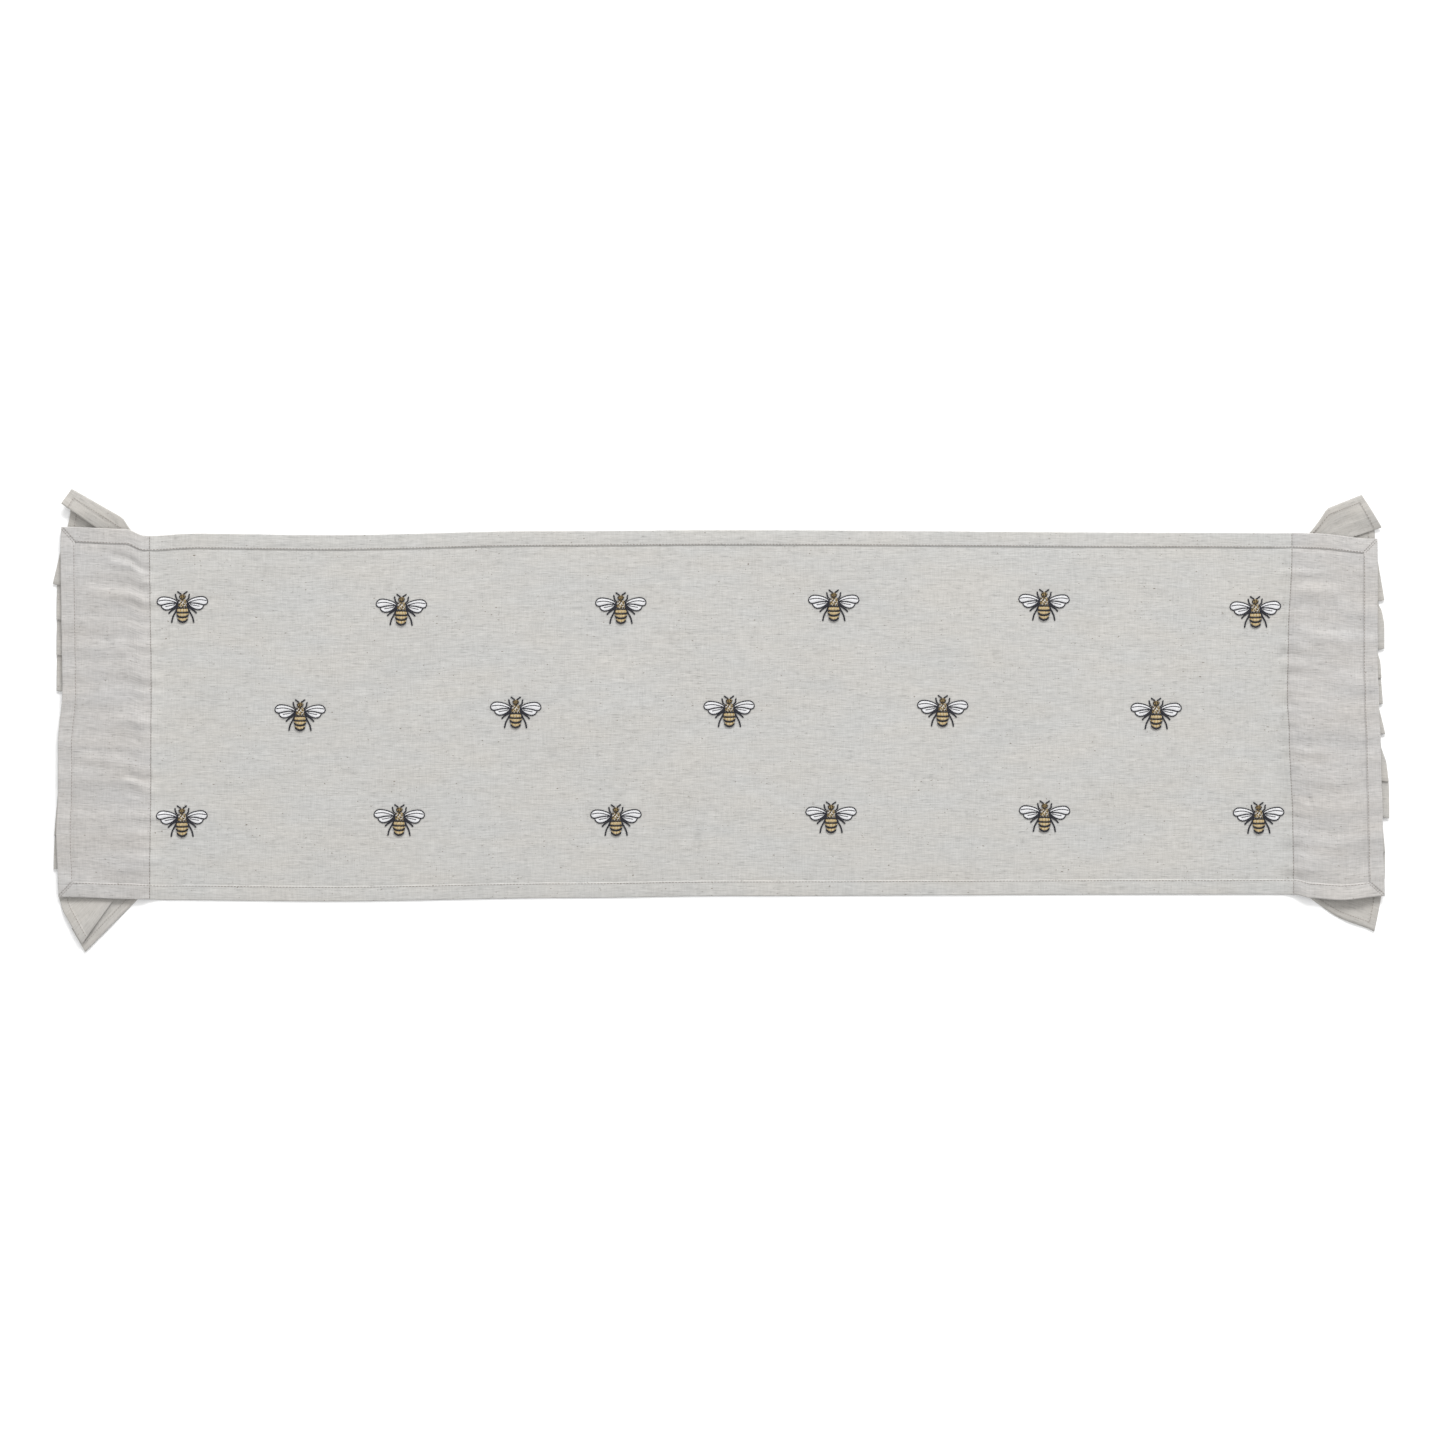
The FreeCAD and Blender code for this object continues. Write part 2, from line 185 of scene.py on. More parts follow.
def colour(name, description, default):
    return FloatVectorProperty(
        name=name, description=description, default=default, size=3, min=0.0, max=1.0, subtype="COLOR")


class RunnerClothSettings(bpy.types.PropertyGroup):
    thickness: length("Thickness", "One layer of the cloth", 0.6 * MM)
    hem_width: length("Hem width", "Hem turned onto the face", 14.0 * MM)
    hem_rise: length("Hem rise", "Height of the hem above the cloth", 0.75 * MM)
    pucker: length("Pucker", "Height of the puckers that the ruffle seam pulls", 1.7 * MM)
    column: length("Column", "Spacing of the mesh's lines along the runner", 4.6 * MM)
    row: length("Row", "Spacing of the mesh's lines across the runner", 2.6 * MM)
    colour: colour("Colour", "Undyed linen", (0.452, 0.446, 0.428))
    thread_pitch: length("Thread pitch", "Between neighbouring threads of the weave", 0.62 * MM)


class RunnerRuffleSettings(bpy.types.PropertyGroup):
    thickness: length("Thickness", "One layer of the ruffle", 0.42 * MM)
    hem_width: length("Hem width", "Hem round the ruffle's three free sides", 7.0 * MM)
    hem_rise: length("Hem rise", "Extra thickness of that hem", 0.4 * MM)
    cut_length: length("Cut length", "Strip before it is gathered", 0.56)
    heading: length("Heading", "From the seam to where the modelled strip starts", 9.0 * MM)
    layer: length("Layer", "From one folded layer to the next", 0.8 * MM)


class RunnerStitchSettings(bpy.types.PropertyGroup):
    pitch: length("Pitch", "From one stitch to the next", 3.0 * MM)
    radius: length("Radius", "Half the thread's thickness", 0.25 * MM)
    hem_inset: length("Hem inset", "Stitch line in from the hem's inner edge", 0.9 * MM)
    colour: colour("Colour", "Sewing thread", (0.20, 0.17, 0.15))


class RunnerBeeSettings(bpy.types.PropertyGroup):
    strand: length("Strand", "Half the thickness of an embroidery thread", 0.3 * MM)
    rise: length("Rise", "Height of the body's padding", 0.7 * MM)
    wing: colour("Wing", "White thread", (0.70, 0.70, 0.71))
    gold: colour("Gold", "Gold thread", (0.40, 0.28, 0.105))
    pale: colour("Pale", "Pale gold thread", (0.60, 0.52, 0.36))
    brown: colour("Brown", "Brown thread of the head and thorax", (0.13, 0.09, 0.035))
    dark: colour("Dark", "Blue-black thread", (0.010, 0.010, 0.016))


class RunnerStageSettings(bpy.types.PropertyGroup):
    frame_width: length("Frame width", "Width of the view on the table", 1.3366)
    lens: amount("Lens", "Focal length in millimetres", 120.0)
    look_x: amount("Look X", "Middle of the view", 0.0023, "LENGTH")
    look_y: amount("Look Y", "Middle of the view", -0.0079, "LENGTH")
    sky: amount("Sky", "Strength of the even white light", 0.87)
    key: amount("Key", "Power of the light beyond the upper edge", 370.0)
    floor: colour("Floor", "Pale table top", (0.98, 0.98, 0.98))


# ---------------------------------------------------------------- small helpers

def smooth(low, high, at):
    """0 before low, 1 after high, and an even curve between."""
    share = min(1.0, max(0.0, (at - low) / (high - low)))
    return share * share * (3.0 - 2.0 * share)


def glide(knots, at):
    """The value at a place, on an even curve through (place, value) knots."""
    if at <= knots[0][0]:
        return knots[0][1]
    for (low, first), (high, last) in zip(knots, knots[1:]):
        if at <= high:
            return first + (last - first) * smooth(low, high, at)
    return knots[-1][1]


def bell(at, width):
    return math.exp(-(at / width) ** 2)


def grain(x, y, size, seed=0.0):
    """Smooth noise between about -1 and 1 whose lumps measure size."""
    return noise.noise(Vector((x / size + seed, y / size - seed, seed * 0.37)))


def steps(low, high, spacing):
    count = max(1, round(abs(high - low) / spacing))
    return [low + (high - low) * index / count for index in range(count + 1)]


def merge(*runs, least=0.05 * MM):
    """One rising list of places from several, each more than least past the one before."""
    places = sorted(place for run in runs for place in run)
    kept = [places[0]]
    for place in places[1:]:
        if place - kept[-1] > least:
            kept.append(place)
    return kept


def new_piece(name, bm, materials):
    """A finished object at the origin from a bmesh, which is freed."""
    bmesh.ops.recalc_face_normals(bm, faces=bm.faces)
    mesh = bpy.data.meshes.new(name)
    bm.to_mesh(mesh)
    bm.free()
    for material in materials:
        mesh.materials.append(material)
    mesh.shade_smooth()
    piece = bpy.data.objects.new(name, mesh)
    bpy.context.scene.collection.objects.link(piece)
    return piece


# ---------------------------------------------------------------- materials

def put(tree, kind, inputs=None, **settings):
    """A new node with its settings, and its inputs given as values or as sockets."""
    node = tree.nodes.new(kind)
    for name, value in settings.items():
        setattr(node, name, value)
    for name, value in (inputs or {}).items():
        if isinstance(value, bpy.types.NodeSocket):
            tree.links.new(value, node.inputs[name])
        else:
            node.inputs[name].default_value = value
    return node


def calculate(tree, operation, first, second=0.0, clamp=False):
    """One step of arithmetic, as the output socket of its node."""
    node = put(tree, "ShaderNodeMath", {0: first, 1: second}, operation=operation, use_clamp=clamp)
    return node.outputs[0]


def blend_colours(tree, share, first, second, mode="MIX"):
    node = put(tree, "ShaderNodeMix", data_type="RGBA", blend_type=mode)
    for socket, value in zip((node.inputs[0], node.inputs[6], node.inputs[7]), (share, first, second)):
        if isinstance(value, bpy.types.NodeSocket):
            tree.links.new(value, socket)
        else:
            socket.default_value = value
    return node.outputs[2]


def add_up(tree, first, *others):
    for other in others:
        first = calculate(tree, "ADD", first, other)
    return first


def times(tree, first, second, clamp=False):
    return calculate(tree, "MULTIPLY", first, second, clamp)


def scaled(tree, value, share):
    """A vector or a colour, times a number."""
    return put(tree, "ShaderNodeVectorMath", {0: value, "Scale": share}, operation="SCALE").outputs[0]


def remap(tree, value, low, high, new_low=0.0, new_high=1.0):
    node = put(tree, "ShaderNodeMapRange", {
        "Value": value, "From Min": low, "From Max": high, "To Min": new_low, "To Max": new_high})
    return node.outputs[0]


def new_group(name, inputs, outputs):
    """An empty shader node group, with its input and output nodes."""
    group = bpy.data.node_groups.new(name, "ShaderNodeTree")
    for label, kind, value in inputs:
        socket = group.interface.new_socket(name=label, in_out="INPUT", socket_type=kind)
        if value is not None:
            socket.default_value = value
    for label, kind in outputs:
        group.interface.new_socket(name=label, in_out="OUTPUT", socket_type=kind)
    return group, put(group, "NodeGroupInput"), put(group, "NodeGroupOutput")


def make_weave_group():
    """Plain weave with slubs, flecks and uneven bleaching. Coordinates are metres on the cloth."""
    group, given, result = new_group("Linen Weave", (
        ("Coordinates", "NodeSocketVector", None),
        ("Colour", "NodeSocketColor", (0.5, 0.5, 0.48, 1.0)),
        ("Thread Pitch", "NodeSocketFloat", 0.0006),
        ("Slub", "NodeSocketFloat", 1.0),
        ("Fleck", "NodeSocketFloat", 1.0),
    ), (("Colour", "NodeSocketColor"), ("Height", "NodeSocketFloat")))
    where = given.outputs["Coordinates"]
    drift = put(group, "ShaderNodeTexNoise", {"Vector": where, "Scale": 90.0, "Detail": 2.0})
    shifted = put(group, "ShaderNodeVectorMath", {
        0: drift.outputs["Color"], 1: (0.5, 0.5, 0.5)}, operation="SUBTRACT").outputs[0]
    small = scaled(group, shifted, 0.0012)
    threads = put(group, "ShaderNodeVectorMath", {0: where, 1: small}, operation="ADD").outputs[0]
    axes = put(group, "ShaderNodeSeparateXYZ", {0: threads})
    turn = calculate(group, "DIVIDE", math.pi, given.outputs["Thread Pitch"])
    warp = calculate(group, "SINE", times(group, axes.outputs[0], turn))
    weft = calculate(group, "SINE", times(group, axes.outputs[1], turn))
    ribs = calculate(group, "ABSOLUTE", times(group, warp, weft))

    def mottle(lumps, detail, roughness, *limits):
        """Noise stretched to limits. lumps is how many there are in a metre each way."""
        stretched = put(group, "ShaderNodeMapping", {"Vector": where, "Scale": lumps}).outputs[0]
        node = put(group, "ShaderNodeTexNoise", {
            "Vector": stretched, "Scale": 1.0, "Detail": detail, "Roughness": roughness})
        return remap(group, node.outputs[0], *limits)

    # Slubs: thicker lengths of thread, long in the weft and shorter in the warp.
    weft_slub = mottle((80.0, 860.0, 1.0), 2.5, 0.6, 0.30, 0.70, -1.0, 1.0)
    warp_slub = mottle((760.0, 70.0, 1.0), 2.0, 0.6, 0.30, 0.70, -1.0, 1.0)
    broad_slub = mottle((16.0, 260.0, 1.0), 3.0, 0.6, 0.32, 0.68, -1.0, 1.0)
    bleaching = mottle((9.0, 14.0, 1.0), 4.0, 0.55, 0.3, 0.7, -1.0, 1.0)
    dashes = mottle((120.0, 900.0, 7.0), 1.0, 0.5, 0.60, 0.74, 0.0, -0.16)
    streaks = add_up(group, times(group, weft_slub, 0.085), times(group, warp_slub, 0.040),
                     times(group, broad_slub, 0.030), dashes)
    streaks = times(group, streaks, given.outputs["Slub"])
    tone = add_up(group, streaks, times(group, bleaching, 0.020),
                  remap(group, ribs, 0.0, 1.0, -0.045, 0.03), 1.0)
    toned = scaled(group, given.outputs["Colour"], tone)
    # A warm or a cool cast that changes slowly, and sparse dark specks of stalk.
    cast = mottle((11.0, 31.0, 5.0), 3.0, 0.55, 0.35, 0.65)
    cast_colour = blend_colours(group, cast, (1.012, 0.998, 0.985, 1.0), (0.990, 0.998, 1.012, 1.0))
    toned = blend_colours(group, 1.0, toned, cast_colour, "MULTIPLY")
    specks = mottle((330.0, 620.0, 3.0), 1.5, 0.5, 0.695, 0.725)
    rare = mottle((40.0, 40.0, 9.0), 1.0, 0.55, 0.42, 0.56)
    speck_share = times(group, times(group, specks, rare, True), 0.75)
    speck_share = times(group, speck_share, given.outputs["Fleck"])
    flecked = blend_colours(group, speck_share, toned, (0.10, 0.075, 0.05, 1.0))
    height = add_up(group, times(group, ribs, 0.55), times(group, weft_slub, 0.30),
                    times(group, warp_slub, 0.16))
    group.links.new(flecked, result.inputs["Colour"])
    group.links.new(height, result.inputs["Height"])


def make_twist_group():
    """Fine twisted fibres that run any way, with small changes of tone."""
    group, given, result = new_group("Twisted Thread", (
        ("Colour", "NodeSocketColor", (0.5, 0.5, 0.5, 1.0)),
        ("Fibre Size", "NodeSocketFloat", 0.00025),
        ("Contrast", "NodeSocketFloat", 0.2),
    ), (("Colour", "NodeSocketColor"), ("Height", "NodeSocketFloat")))
    place = put(group, "ShaderNodeTexCoord").outputs["Object"]
    scale = calculate(group, "DIVIDE", 1.0, given.outputs["Fibre Size"])
    fine, broad = (
        put(group, "ShaderNodeTexNoise", {"Vector": place, "Scale": size, "Detail": 2.0}).outputs[0]
        for size in (scale, 420.0))
    tone = add_up(group, times(group, fine, 0.6), times(group, broad, 0.4))
    spread = times(group, calculate(group, "SUBTRACT", tone, 0.5), 3.0)
    spread = times(group, spread, given.outputs["Contrast"])
    toned = scaled(group, given.outputs["Colour"], add_up(group, spread, 1.0))
    group.links.new(toned, result.inputs["Colour"])
    group.links.new(fine, result.inputs["Height"])


def new_material(name, roughness, sheen):
    """A bare cloth or thread material: its tree and its shader."""
    material = bpy.data.materials.new(name)
    material.use_nodes = True
    tree = material.node_tree
    shader = tree.nodes["Principled BSDF"]
    shader.inputs["Roughness"].default_value = roughness
    shader.inputs["Sheen Weight"].default_value = sheen
    shader.inputs["Sheen Roughness"].default_value = 0.5
    shader.inputs["Specular IOR Level"].default_value = 0.25
    return material, tree, shader


def add_bump(tree, shader, height, distance, strength):
    bump = put(tree, "ShaderNodeBump", {"Height": height, "Distance": distance, "Strength": strength})
    tree.links.new(bump.outputs[0], shader.inputs["Normal"])


def use_group(tree, name, inputs):
    return put(tree, "ShaderNodeGroup", inputs, node_tree=bpy.data.node_groups[name])


def linen_material(name, tint, slub, fleck):
    """Woven linen, with how strong its slubs are and how many its flecks."""
    cloth = bpy.context.scene.runner_cloth
    material, tree, shader = new_material(name, 0.92, 0.12)
    where = put(tree, "ShaderNodeUVMap", uv_map="Cloth").outputs[0]
    base = [channel * share for channel, share in zip(cloth.colour, tint)] + [1.0]
    weave = use_group(tree, "Linen Weave", {
        "Coordinates": where, "Colour": base, "Thread Pitch": cloth.thread_pitch,
        "Slub": slub, "Fleck": fleck})
    tree.links.new(weave.outputs["Colour"], shader.inputs["Base Color"])
    rough = remap(tree, weave.outputs["Height"], -0.4, 1.0, 0.97, 0.84)
    tree.links.new(rough, shader.inputs["Roughness"])
    add_bump(tree, shader, weave.outputs["Height"], 0.16 * MM, 0.7)
    return material


def thread_material(name, colour_value, roughness, sheen, contrast):
    material, tree, shader = new_material(name, roughness, sheen)
    twist = use_group(tree, "Twisted Thread", {
        "Colour": list(colour_value) + [1.0], "Contrast": contrast, "Fibre Size": 0.22 * MM})
    tree.links.new(twist.outputs["Colour"], shader.inputs["Base Color"])
    add_bump(tree, shader, twist.outputs["Height"], 0.06 * MM, 0.5)
    return material


# ---------------------------------------------------------------- the cloth's surface

def seam_distance(along):
    """How far out past the nearer ruffle seam a place on the cloth is. The panel is below 0."""
    return abs(along) - SEAM


def end_of(along):
    return "left" if along < 0 else "right"


def cloth_plan(along, across):
    """Where a place on the true rectangle lies on the table: the edges wander a little."""
    mm_along, mm_across = along / MM, across / MM
    upper = HALF_WIDTH + glide(UPPER_EDGE, mm_along) * MM
    lower = HALF_WIDTH + glide(LOWER_EDGE, mm_along) * MM
    share = (across + HALF_WIDTH) / (2.0 * HALF_WIDTH)
    end = end_of(along)
    out = seam_distance(along)
    stretch_out = max(0.0, out / FLAP_LENGTH) * glide(END_EDGE[end], mm_across) * MM
    stretch_out += bell(out, 26.0 * MM) * glide(SEAM_LINE[end], mm_across) * MM
    x = along + ENDS[end] * stretch_out
    return x, -lower + share * (upper + lower)


def hem_distance(along, across):
    """How far in from the nearest hemmed edge."""
    inward = HALF_WIDTH - abs(across)
    out = seam_distance(along)
    return min(inward, FLAP_LENGTH - out) if out > 0.0 else inward


def crease_lift(creases, end, out, across):
    """A soft fold beside each crease: a dip above its line and a rise below it. Millimetres."""
    total = 0.0
    for which, first, last, depth, width in creases:
        if which != end or abs(out - first[0]) > 110.0:
            continue
        run_out, run_up = last[0] - first[0], last[1] - first[1]
        run = math.hypot(run_out, run_up)
        along = ((out - first[0]) * run_out + (across - first[1]) * run_up) / run
        aside = ((across - first[1]) * run_out - (out - first[0]) * run_up) / run
        aside = aside if run_out > 0.0 else -aside
        fade = smooth(-0.2 * run, 0.25 * run, along) * smooth(1.2 * run, 0.75 * run, along)
        total -= depth * fade * 2.3 * (aside / width) * math.exp(-(aside / width) ** 2)
    return total


def cloth_lift(along, across):
    """How far the underside of the cloth stands off the table."""
    cloth = bpy.context.scene.runner_cloth
    out = seam_distance(along)
    soft = 0.34 * MM * (1.0 + grain(along, across, 95.0 * MM, 3.1))
    soft += 0.10 * MM * (1.0 + grain(along, across, 26.0 * MM, 7.7))
    near_seam = 0.0
    if out > -60.0 * MM:
        climb = smooth(-9.0 * MM, 11.0 * MM, out)
        soft += climb * 1.5 * MM * (0.6 + grain(along * 0.28, across, 17.0 * MM, 1.9))
        reach = PUCKERS[0] if out > 0.0 else PUCKERS[1]
        gathers = grain(along * 0.12, across, 9.5 * MM, 5.3)
        gathers += 0.6 * grain(along * 0.1, across, 4.6 * MM, 8.3)
        inner = 0.25 + 0.75 * smooth(2.0 * MM, 26.0 * MM, HALF_WIDTH - abs(across))
        near_seam = (RUFFLE_TOP + CLEARANCE) * climb
        near_seam += cloth.pucker * inner * bell(out, reach) * (0.75 + gathers)
        near_seam += crease_lift(CREASES, end_of(along), out / MM, across / MM) * MM
    if out > 0.0:
        if end_of(along) in ARCHES:
            place, width, height = ARCHES[end_of(along)]
            edge = smooth(HALF_WIDTH - 22.0 * MM, HALF_WIDTH + 4.0 * MM, -across)
            near_seam += height * MM * edge * bell(out - place * MM, width * MM)
        ridge = 0.35 * MM * bell(out - 14.0 * MM, 1.9 * MM)
        near_seam += ridge * (0.55 + grain(0.0, across, 60.0 * MM, 2.2))
    inward = smooth(0.0, 30.0 * MM, HALF_WIDTH - abs(across))
    return max(0.02 * MM, near_seam + soft * (0.35 + 0.65 * inward))


def cloth_thickness(along, across):
    """One layer of cloth, or the folded hem, with a rounded edge and a crease at each mitre."""
    cloth = bpy.context.scene.runner_cloth
    distance = hem_distance(along, across)
    step = smooth(cloth.hem_width + 0.22 * MM, cloth.hem_width - 0.22 * MM, distance)
    ripple = 0.09 * MM * grain(along, across, 5.5 * MM, 4.4)
    settle = 0.16 * MM * smooth(6.0 * MM, 0.0, abs(distance - cloth.hem_width * 0.5))
    hem = step * (cloth.hem_rise + ripple + settle)
    out = seam_distance(along)
    if out > 0.0:
        gap = (HALF_WIDTH - abs(across)) - (FLAP_LENGTH - out)
        hem -= step * 0.75 * MM * bell(gap - 0.3 * MM, 0.6 * MM)
        hem += step * 0.25 * MM * smooth(-0.4 * MM, 0.6 * MM, gap)
    seam_pinch = 0.45 * MM * step * bell(out, 1.6 * MM)
    seam_pinch += 0.22 * MM * bell(distance - cloth.hem_width - 0.5 * MM, 0.5 * MM)
    roundness = math.sqrt(max(0.0, 1.0 - (1.0 - min(1.0, distance / (1.1 * MM))) ** 2))
    return (cloth.thickness + hem - seam_pinch) * (0.30 + 0.70 * roundness)


def cloth_top(along, across):
    return cloth_lift(along, across) + cloth_thickness(along, across)


def on_cloth(along, across):
    """A point on the face of the cloth."""
    x, y = cloth_plan(along, across)
    return Vector((x, y, cloth_top(along, across) + STITCH_RISE))


def build_sheet(name, columns, rows, middle, thickness, material, upright):
    """A closed sheet of cloth: a grid bent to a surface, doubled and given its thickness, upright
    or square to the surface."""
    bm = bmesh.new()
    last_column, last_row = len(columns) - 1, len(rows) - 1
    bmesh.ops.create_grid(bm, x_segments=last_column, y_segments=last_row, size=1.0)
    along_layer = bm.verts.layers.float.new("along")
    across_layer = bm.verts.layers.float.new("across")
    for vertex in bm.verts:
        along = columns[round((vertex.co.x + 1.0) * 0.5 * last_column)]
        across = rows[round((vertex.co.y + 1.0) * 0.5 * last_row)]
        vertex[along_layer] = along
        vertex[across_layer] = across
        vertex.co = middle(along, across)
    bm.normal_update()
    under = list(bm.verts)
    normals = [vertex.normal.copy() for vertex in under]
    places = [(vertex[along_layer], vertex[across_layer]) for vertex in under]
    halves = [thickness(*place) * 0.5 for place in places]
    doubled = bmesh.ops.extrude_face_region(bm, geom=list(bm.faces))["geom"]
    upper = {}
    for vertex in (item for item in doubled if isinstance(item, bmesh.types.BMVert)):
        upper[vertex.co.to_tuple(7)] = vertex
    for vertex, normal, half in zip(under, normals, halves):
        step = Vector((0.0, 0.0, half)) if upright else normal * half
        twin = upper[vertex.co.to_tuple(7)]
        twin.co = vertex.co + step
        vertex.co = vertex.co - step
    uv_layer = bm.loops.layers.uv.new("Cloth")
    for face in bm.faces:
        for loop in face.loops:
            loop[uv_layer].uv = (loop.vert[along_layer], loop.vert[across_layer])
    return new_piece(name, bm, [material])


def edge_rows(edge, inward, hem):
    """Mesh lines across a hem, from the cloth's edge to just past the hem's inner edge."""
    places = [0.0, 0.12, 0.4, 0.8, 1.2]
    places += [2.6 + 1.4 * index for index in range(8)]
    near_step = [hem / MM + shift for shift in (-0.9, -0.24, -0.08, 0.08, 0.24, 0.9)]
    return [edge + inward * place * MM for place in places + near_step]


def cloth_rows():
    cloth = bpy.context.scene.runner_cloth
    plain = HALF_WIDTH - cloth.hem_width - 2.5 * MM
    lower = edge_rows(-HALF_WIDTH, 1, cloth.hem_width)
    upper = edge_rows(HALF_WIDTH, -1, cloth.hem_width)
    return merge(lower, steps(-plain, plain, cloth.row), upper)


def cloth_middle(along, across):
    x, y = cloth_plan(along, across)
    lift = cloth_lift(along, across)
    return Vector((x, y, lift + cloth_thickness(along, across) * 0.5))


def flap_columns(side):
    cloth = bpy.context.scene.runner_cloth
    near = steps(0.0, FINE_FLAP, 0.8 * MM)
    far = FLAP_LENGTH - cloth.hem_width - 2.5 * MM
    middle = steps(FINE_FLAP, far, 2.0 * MM)
    end = edge_rows(FLAP_LENGTH, -1, cloth.hem_width)
    places = merge(near, middle, end)
    return sorted(side * (SEAM + place) for place in places)


class RUNNER_OT_cloth(bpy.types.Operator):
    """Make the runner's cloth: the panel between the ruffle seams and the flap beyond each"""

    bl_idname = "runner.cloth"
    bl_label = "Cloth"

    def execute(self, context):
        cloth = context.scene.runner_cloth
        linen = linen_material("Linen", (1.0, 1.0, 1.0), 1.35, 1.0)
        # The flaps are the same cloth as the panel; their copy of the linen is a little darker, painted
        # shade of their creases and puckers.
        shaded_flap_linen = linen_material("Shaded Flap Linen", (0.960, 0.946, 0.954), 1.5, 0.8)
        rows = cloth_rows()
        columns = merge(steps(-SEAM, -SEAM + FINE_PANEL, 1.5 * MM),
                        steps(-SEAM + FINE_PANEL, SEAM - FINE_PANEL, cloth.column),
                        steps(SEAM - FINE_PANEL, SEAM, 1.5 * MM))
        panel = build_sheet("panel_cloth", columns, rows, cloth_middle, cloth_thickness, linen, True)
        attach(panel, ROOT)
        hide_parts("main_panel")
        for end, side in ENDS.items():
            flap = build_sheet(end + "_flap_cloth", flap_columns(side), rows, cloth_middle,
                               cloth_thickness, shaded_flap_linen, True)
            join_at_seam(flap)
            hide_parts(end + "_flap")
        return {"FINISHED"}


def join_at_seam(piece):
    """Bake the piece's placement into its mesh."""
    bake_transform(piece)


# ---------------------------------------------------------------- the ruffles

def point_on(points, share):
    """A point part way along a line of points."""
    lengths = [math.dist(first, last) for first, last in zip(points, points[1:])]
    goal = share * sum(lengths)
    for first, last, run in zip(points, points[1:], lengths):
        if goal <= run:
            return Vector(first).lerp(Vector(last), goal / run)
        goal -= run
    return Vector(points[-1])


def add_turn(stations, head, hem, ahead, high, low, lift):
    """The fold where the strip turns under: half a circle that bulges ahead."""
    half = bpy.context.scene.runner_ruffle.layer / MM * (high - low) * 0.5
    for index in range(1, 6):
        angle = math.pi * index / 6.0
        bulge = ahead * abs(half) * math.sin(angle)
        height = high + (low - high) * (1.0 - math.cos(angle)) * 0.5
        stations.append((head + bulge, hem + bulge, height, lift, 0.0))


def ruffle_stations(end):
    """Every mesh line of a ruffle, from its upper short end to its lower one: the point at the
    heading, the point at the free edge, the height in layers, the lift of the corner there and
    the swell of the short end. Millimetres."""
    runs = RUNS[end]
    heading = bpy.context.scene.runner_ruffle.heading / MM
    upper, lower = TIPS[end]
    stations = []
    last_run = len(runs) - 1
    for index, (line, head_start, head_end) in enumerate(runs):
        start_under = 0.0 if index == 0 else 0.36 if index == last_run else 0.24
        count = 22 if index in (0, 1, last_run - 1, last_run) else 12
        for step in range(count + 1):
            share = step / count
            head = Vector((heading, head_start + (head_end - head_start) * share))
            hem = point_on(line, share)
            rise = smooth(start_under, 0.9, share)
            height = 1.0 if index == 0 else -1.0 if index == last_run else 2.0 * rise - 1.0
            lift, swell = 0.0, 0.0
            if index == 0:
                lift, swell = upper[0] * (0.4 + 0.6 * share), 1.0 - share
            elif index == 1:
                lift = upper[0] * 0.12 * (1.0 - share)
            elif index == last_run - 1:
                lift = lower[0] * smooth(0.3, 1.0, share)
            elif index == last_run:
                lift, swell = lower[0] * 0.25, share
            stations.append((head, hem, height, lift, swell))
        if index < last_run:
            next_line, next_start, _ = runs[index + 1]
            turn_head, turn_hem = Vector((heading, head_end)), Vector(line[-1])
            back_head, back_hem = Vector((heading, next_start)), Vector(next_line[0])
            ahead = (turn_hem - back_hem).normalized()
            lift = stations[-1][3]
            add_turn(stations, turn_head, turn_hem, ahead, 1.0, 0.0, lift * 0.92)
            for step in range(5):
                share = step / 4.0
                stations.append((turn_head.lerp(back_head, share), turn_hem.lerp(back_hem, share), 0.0,
                                 lift * (0.86 - 0.66 * share), 0.0))
            add_turn(stations, back_head, back_hem, -ahead, 0.0, -1.0, lift * 0.15)
    return stations


def strip_places(stations):
    """How far along the strip each of its mesh lines is, in metres."""
    places = [0.0]
    for before, here in zip(stations, stations[1:]):
        run = max(0.05, (here[1] - before[1]).length, abs(here[2] - before[2]) * 0.4)
        places.append(places[-1] + run * MM)
    return places


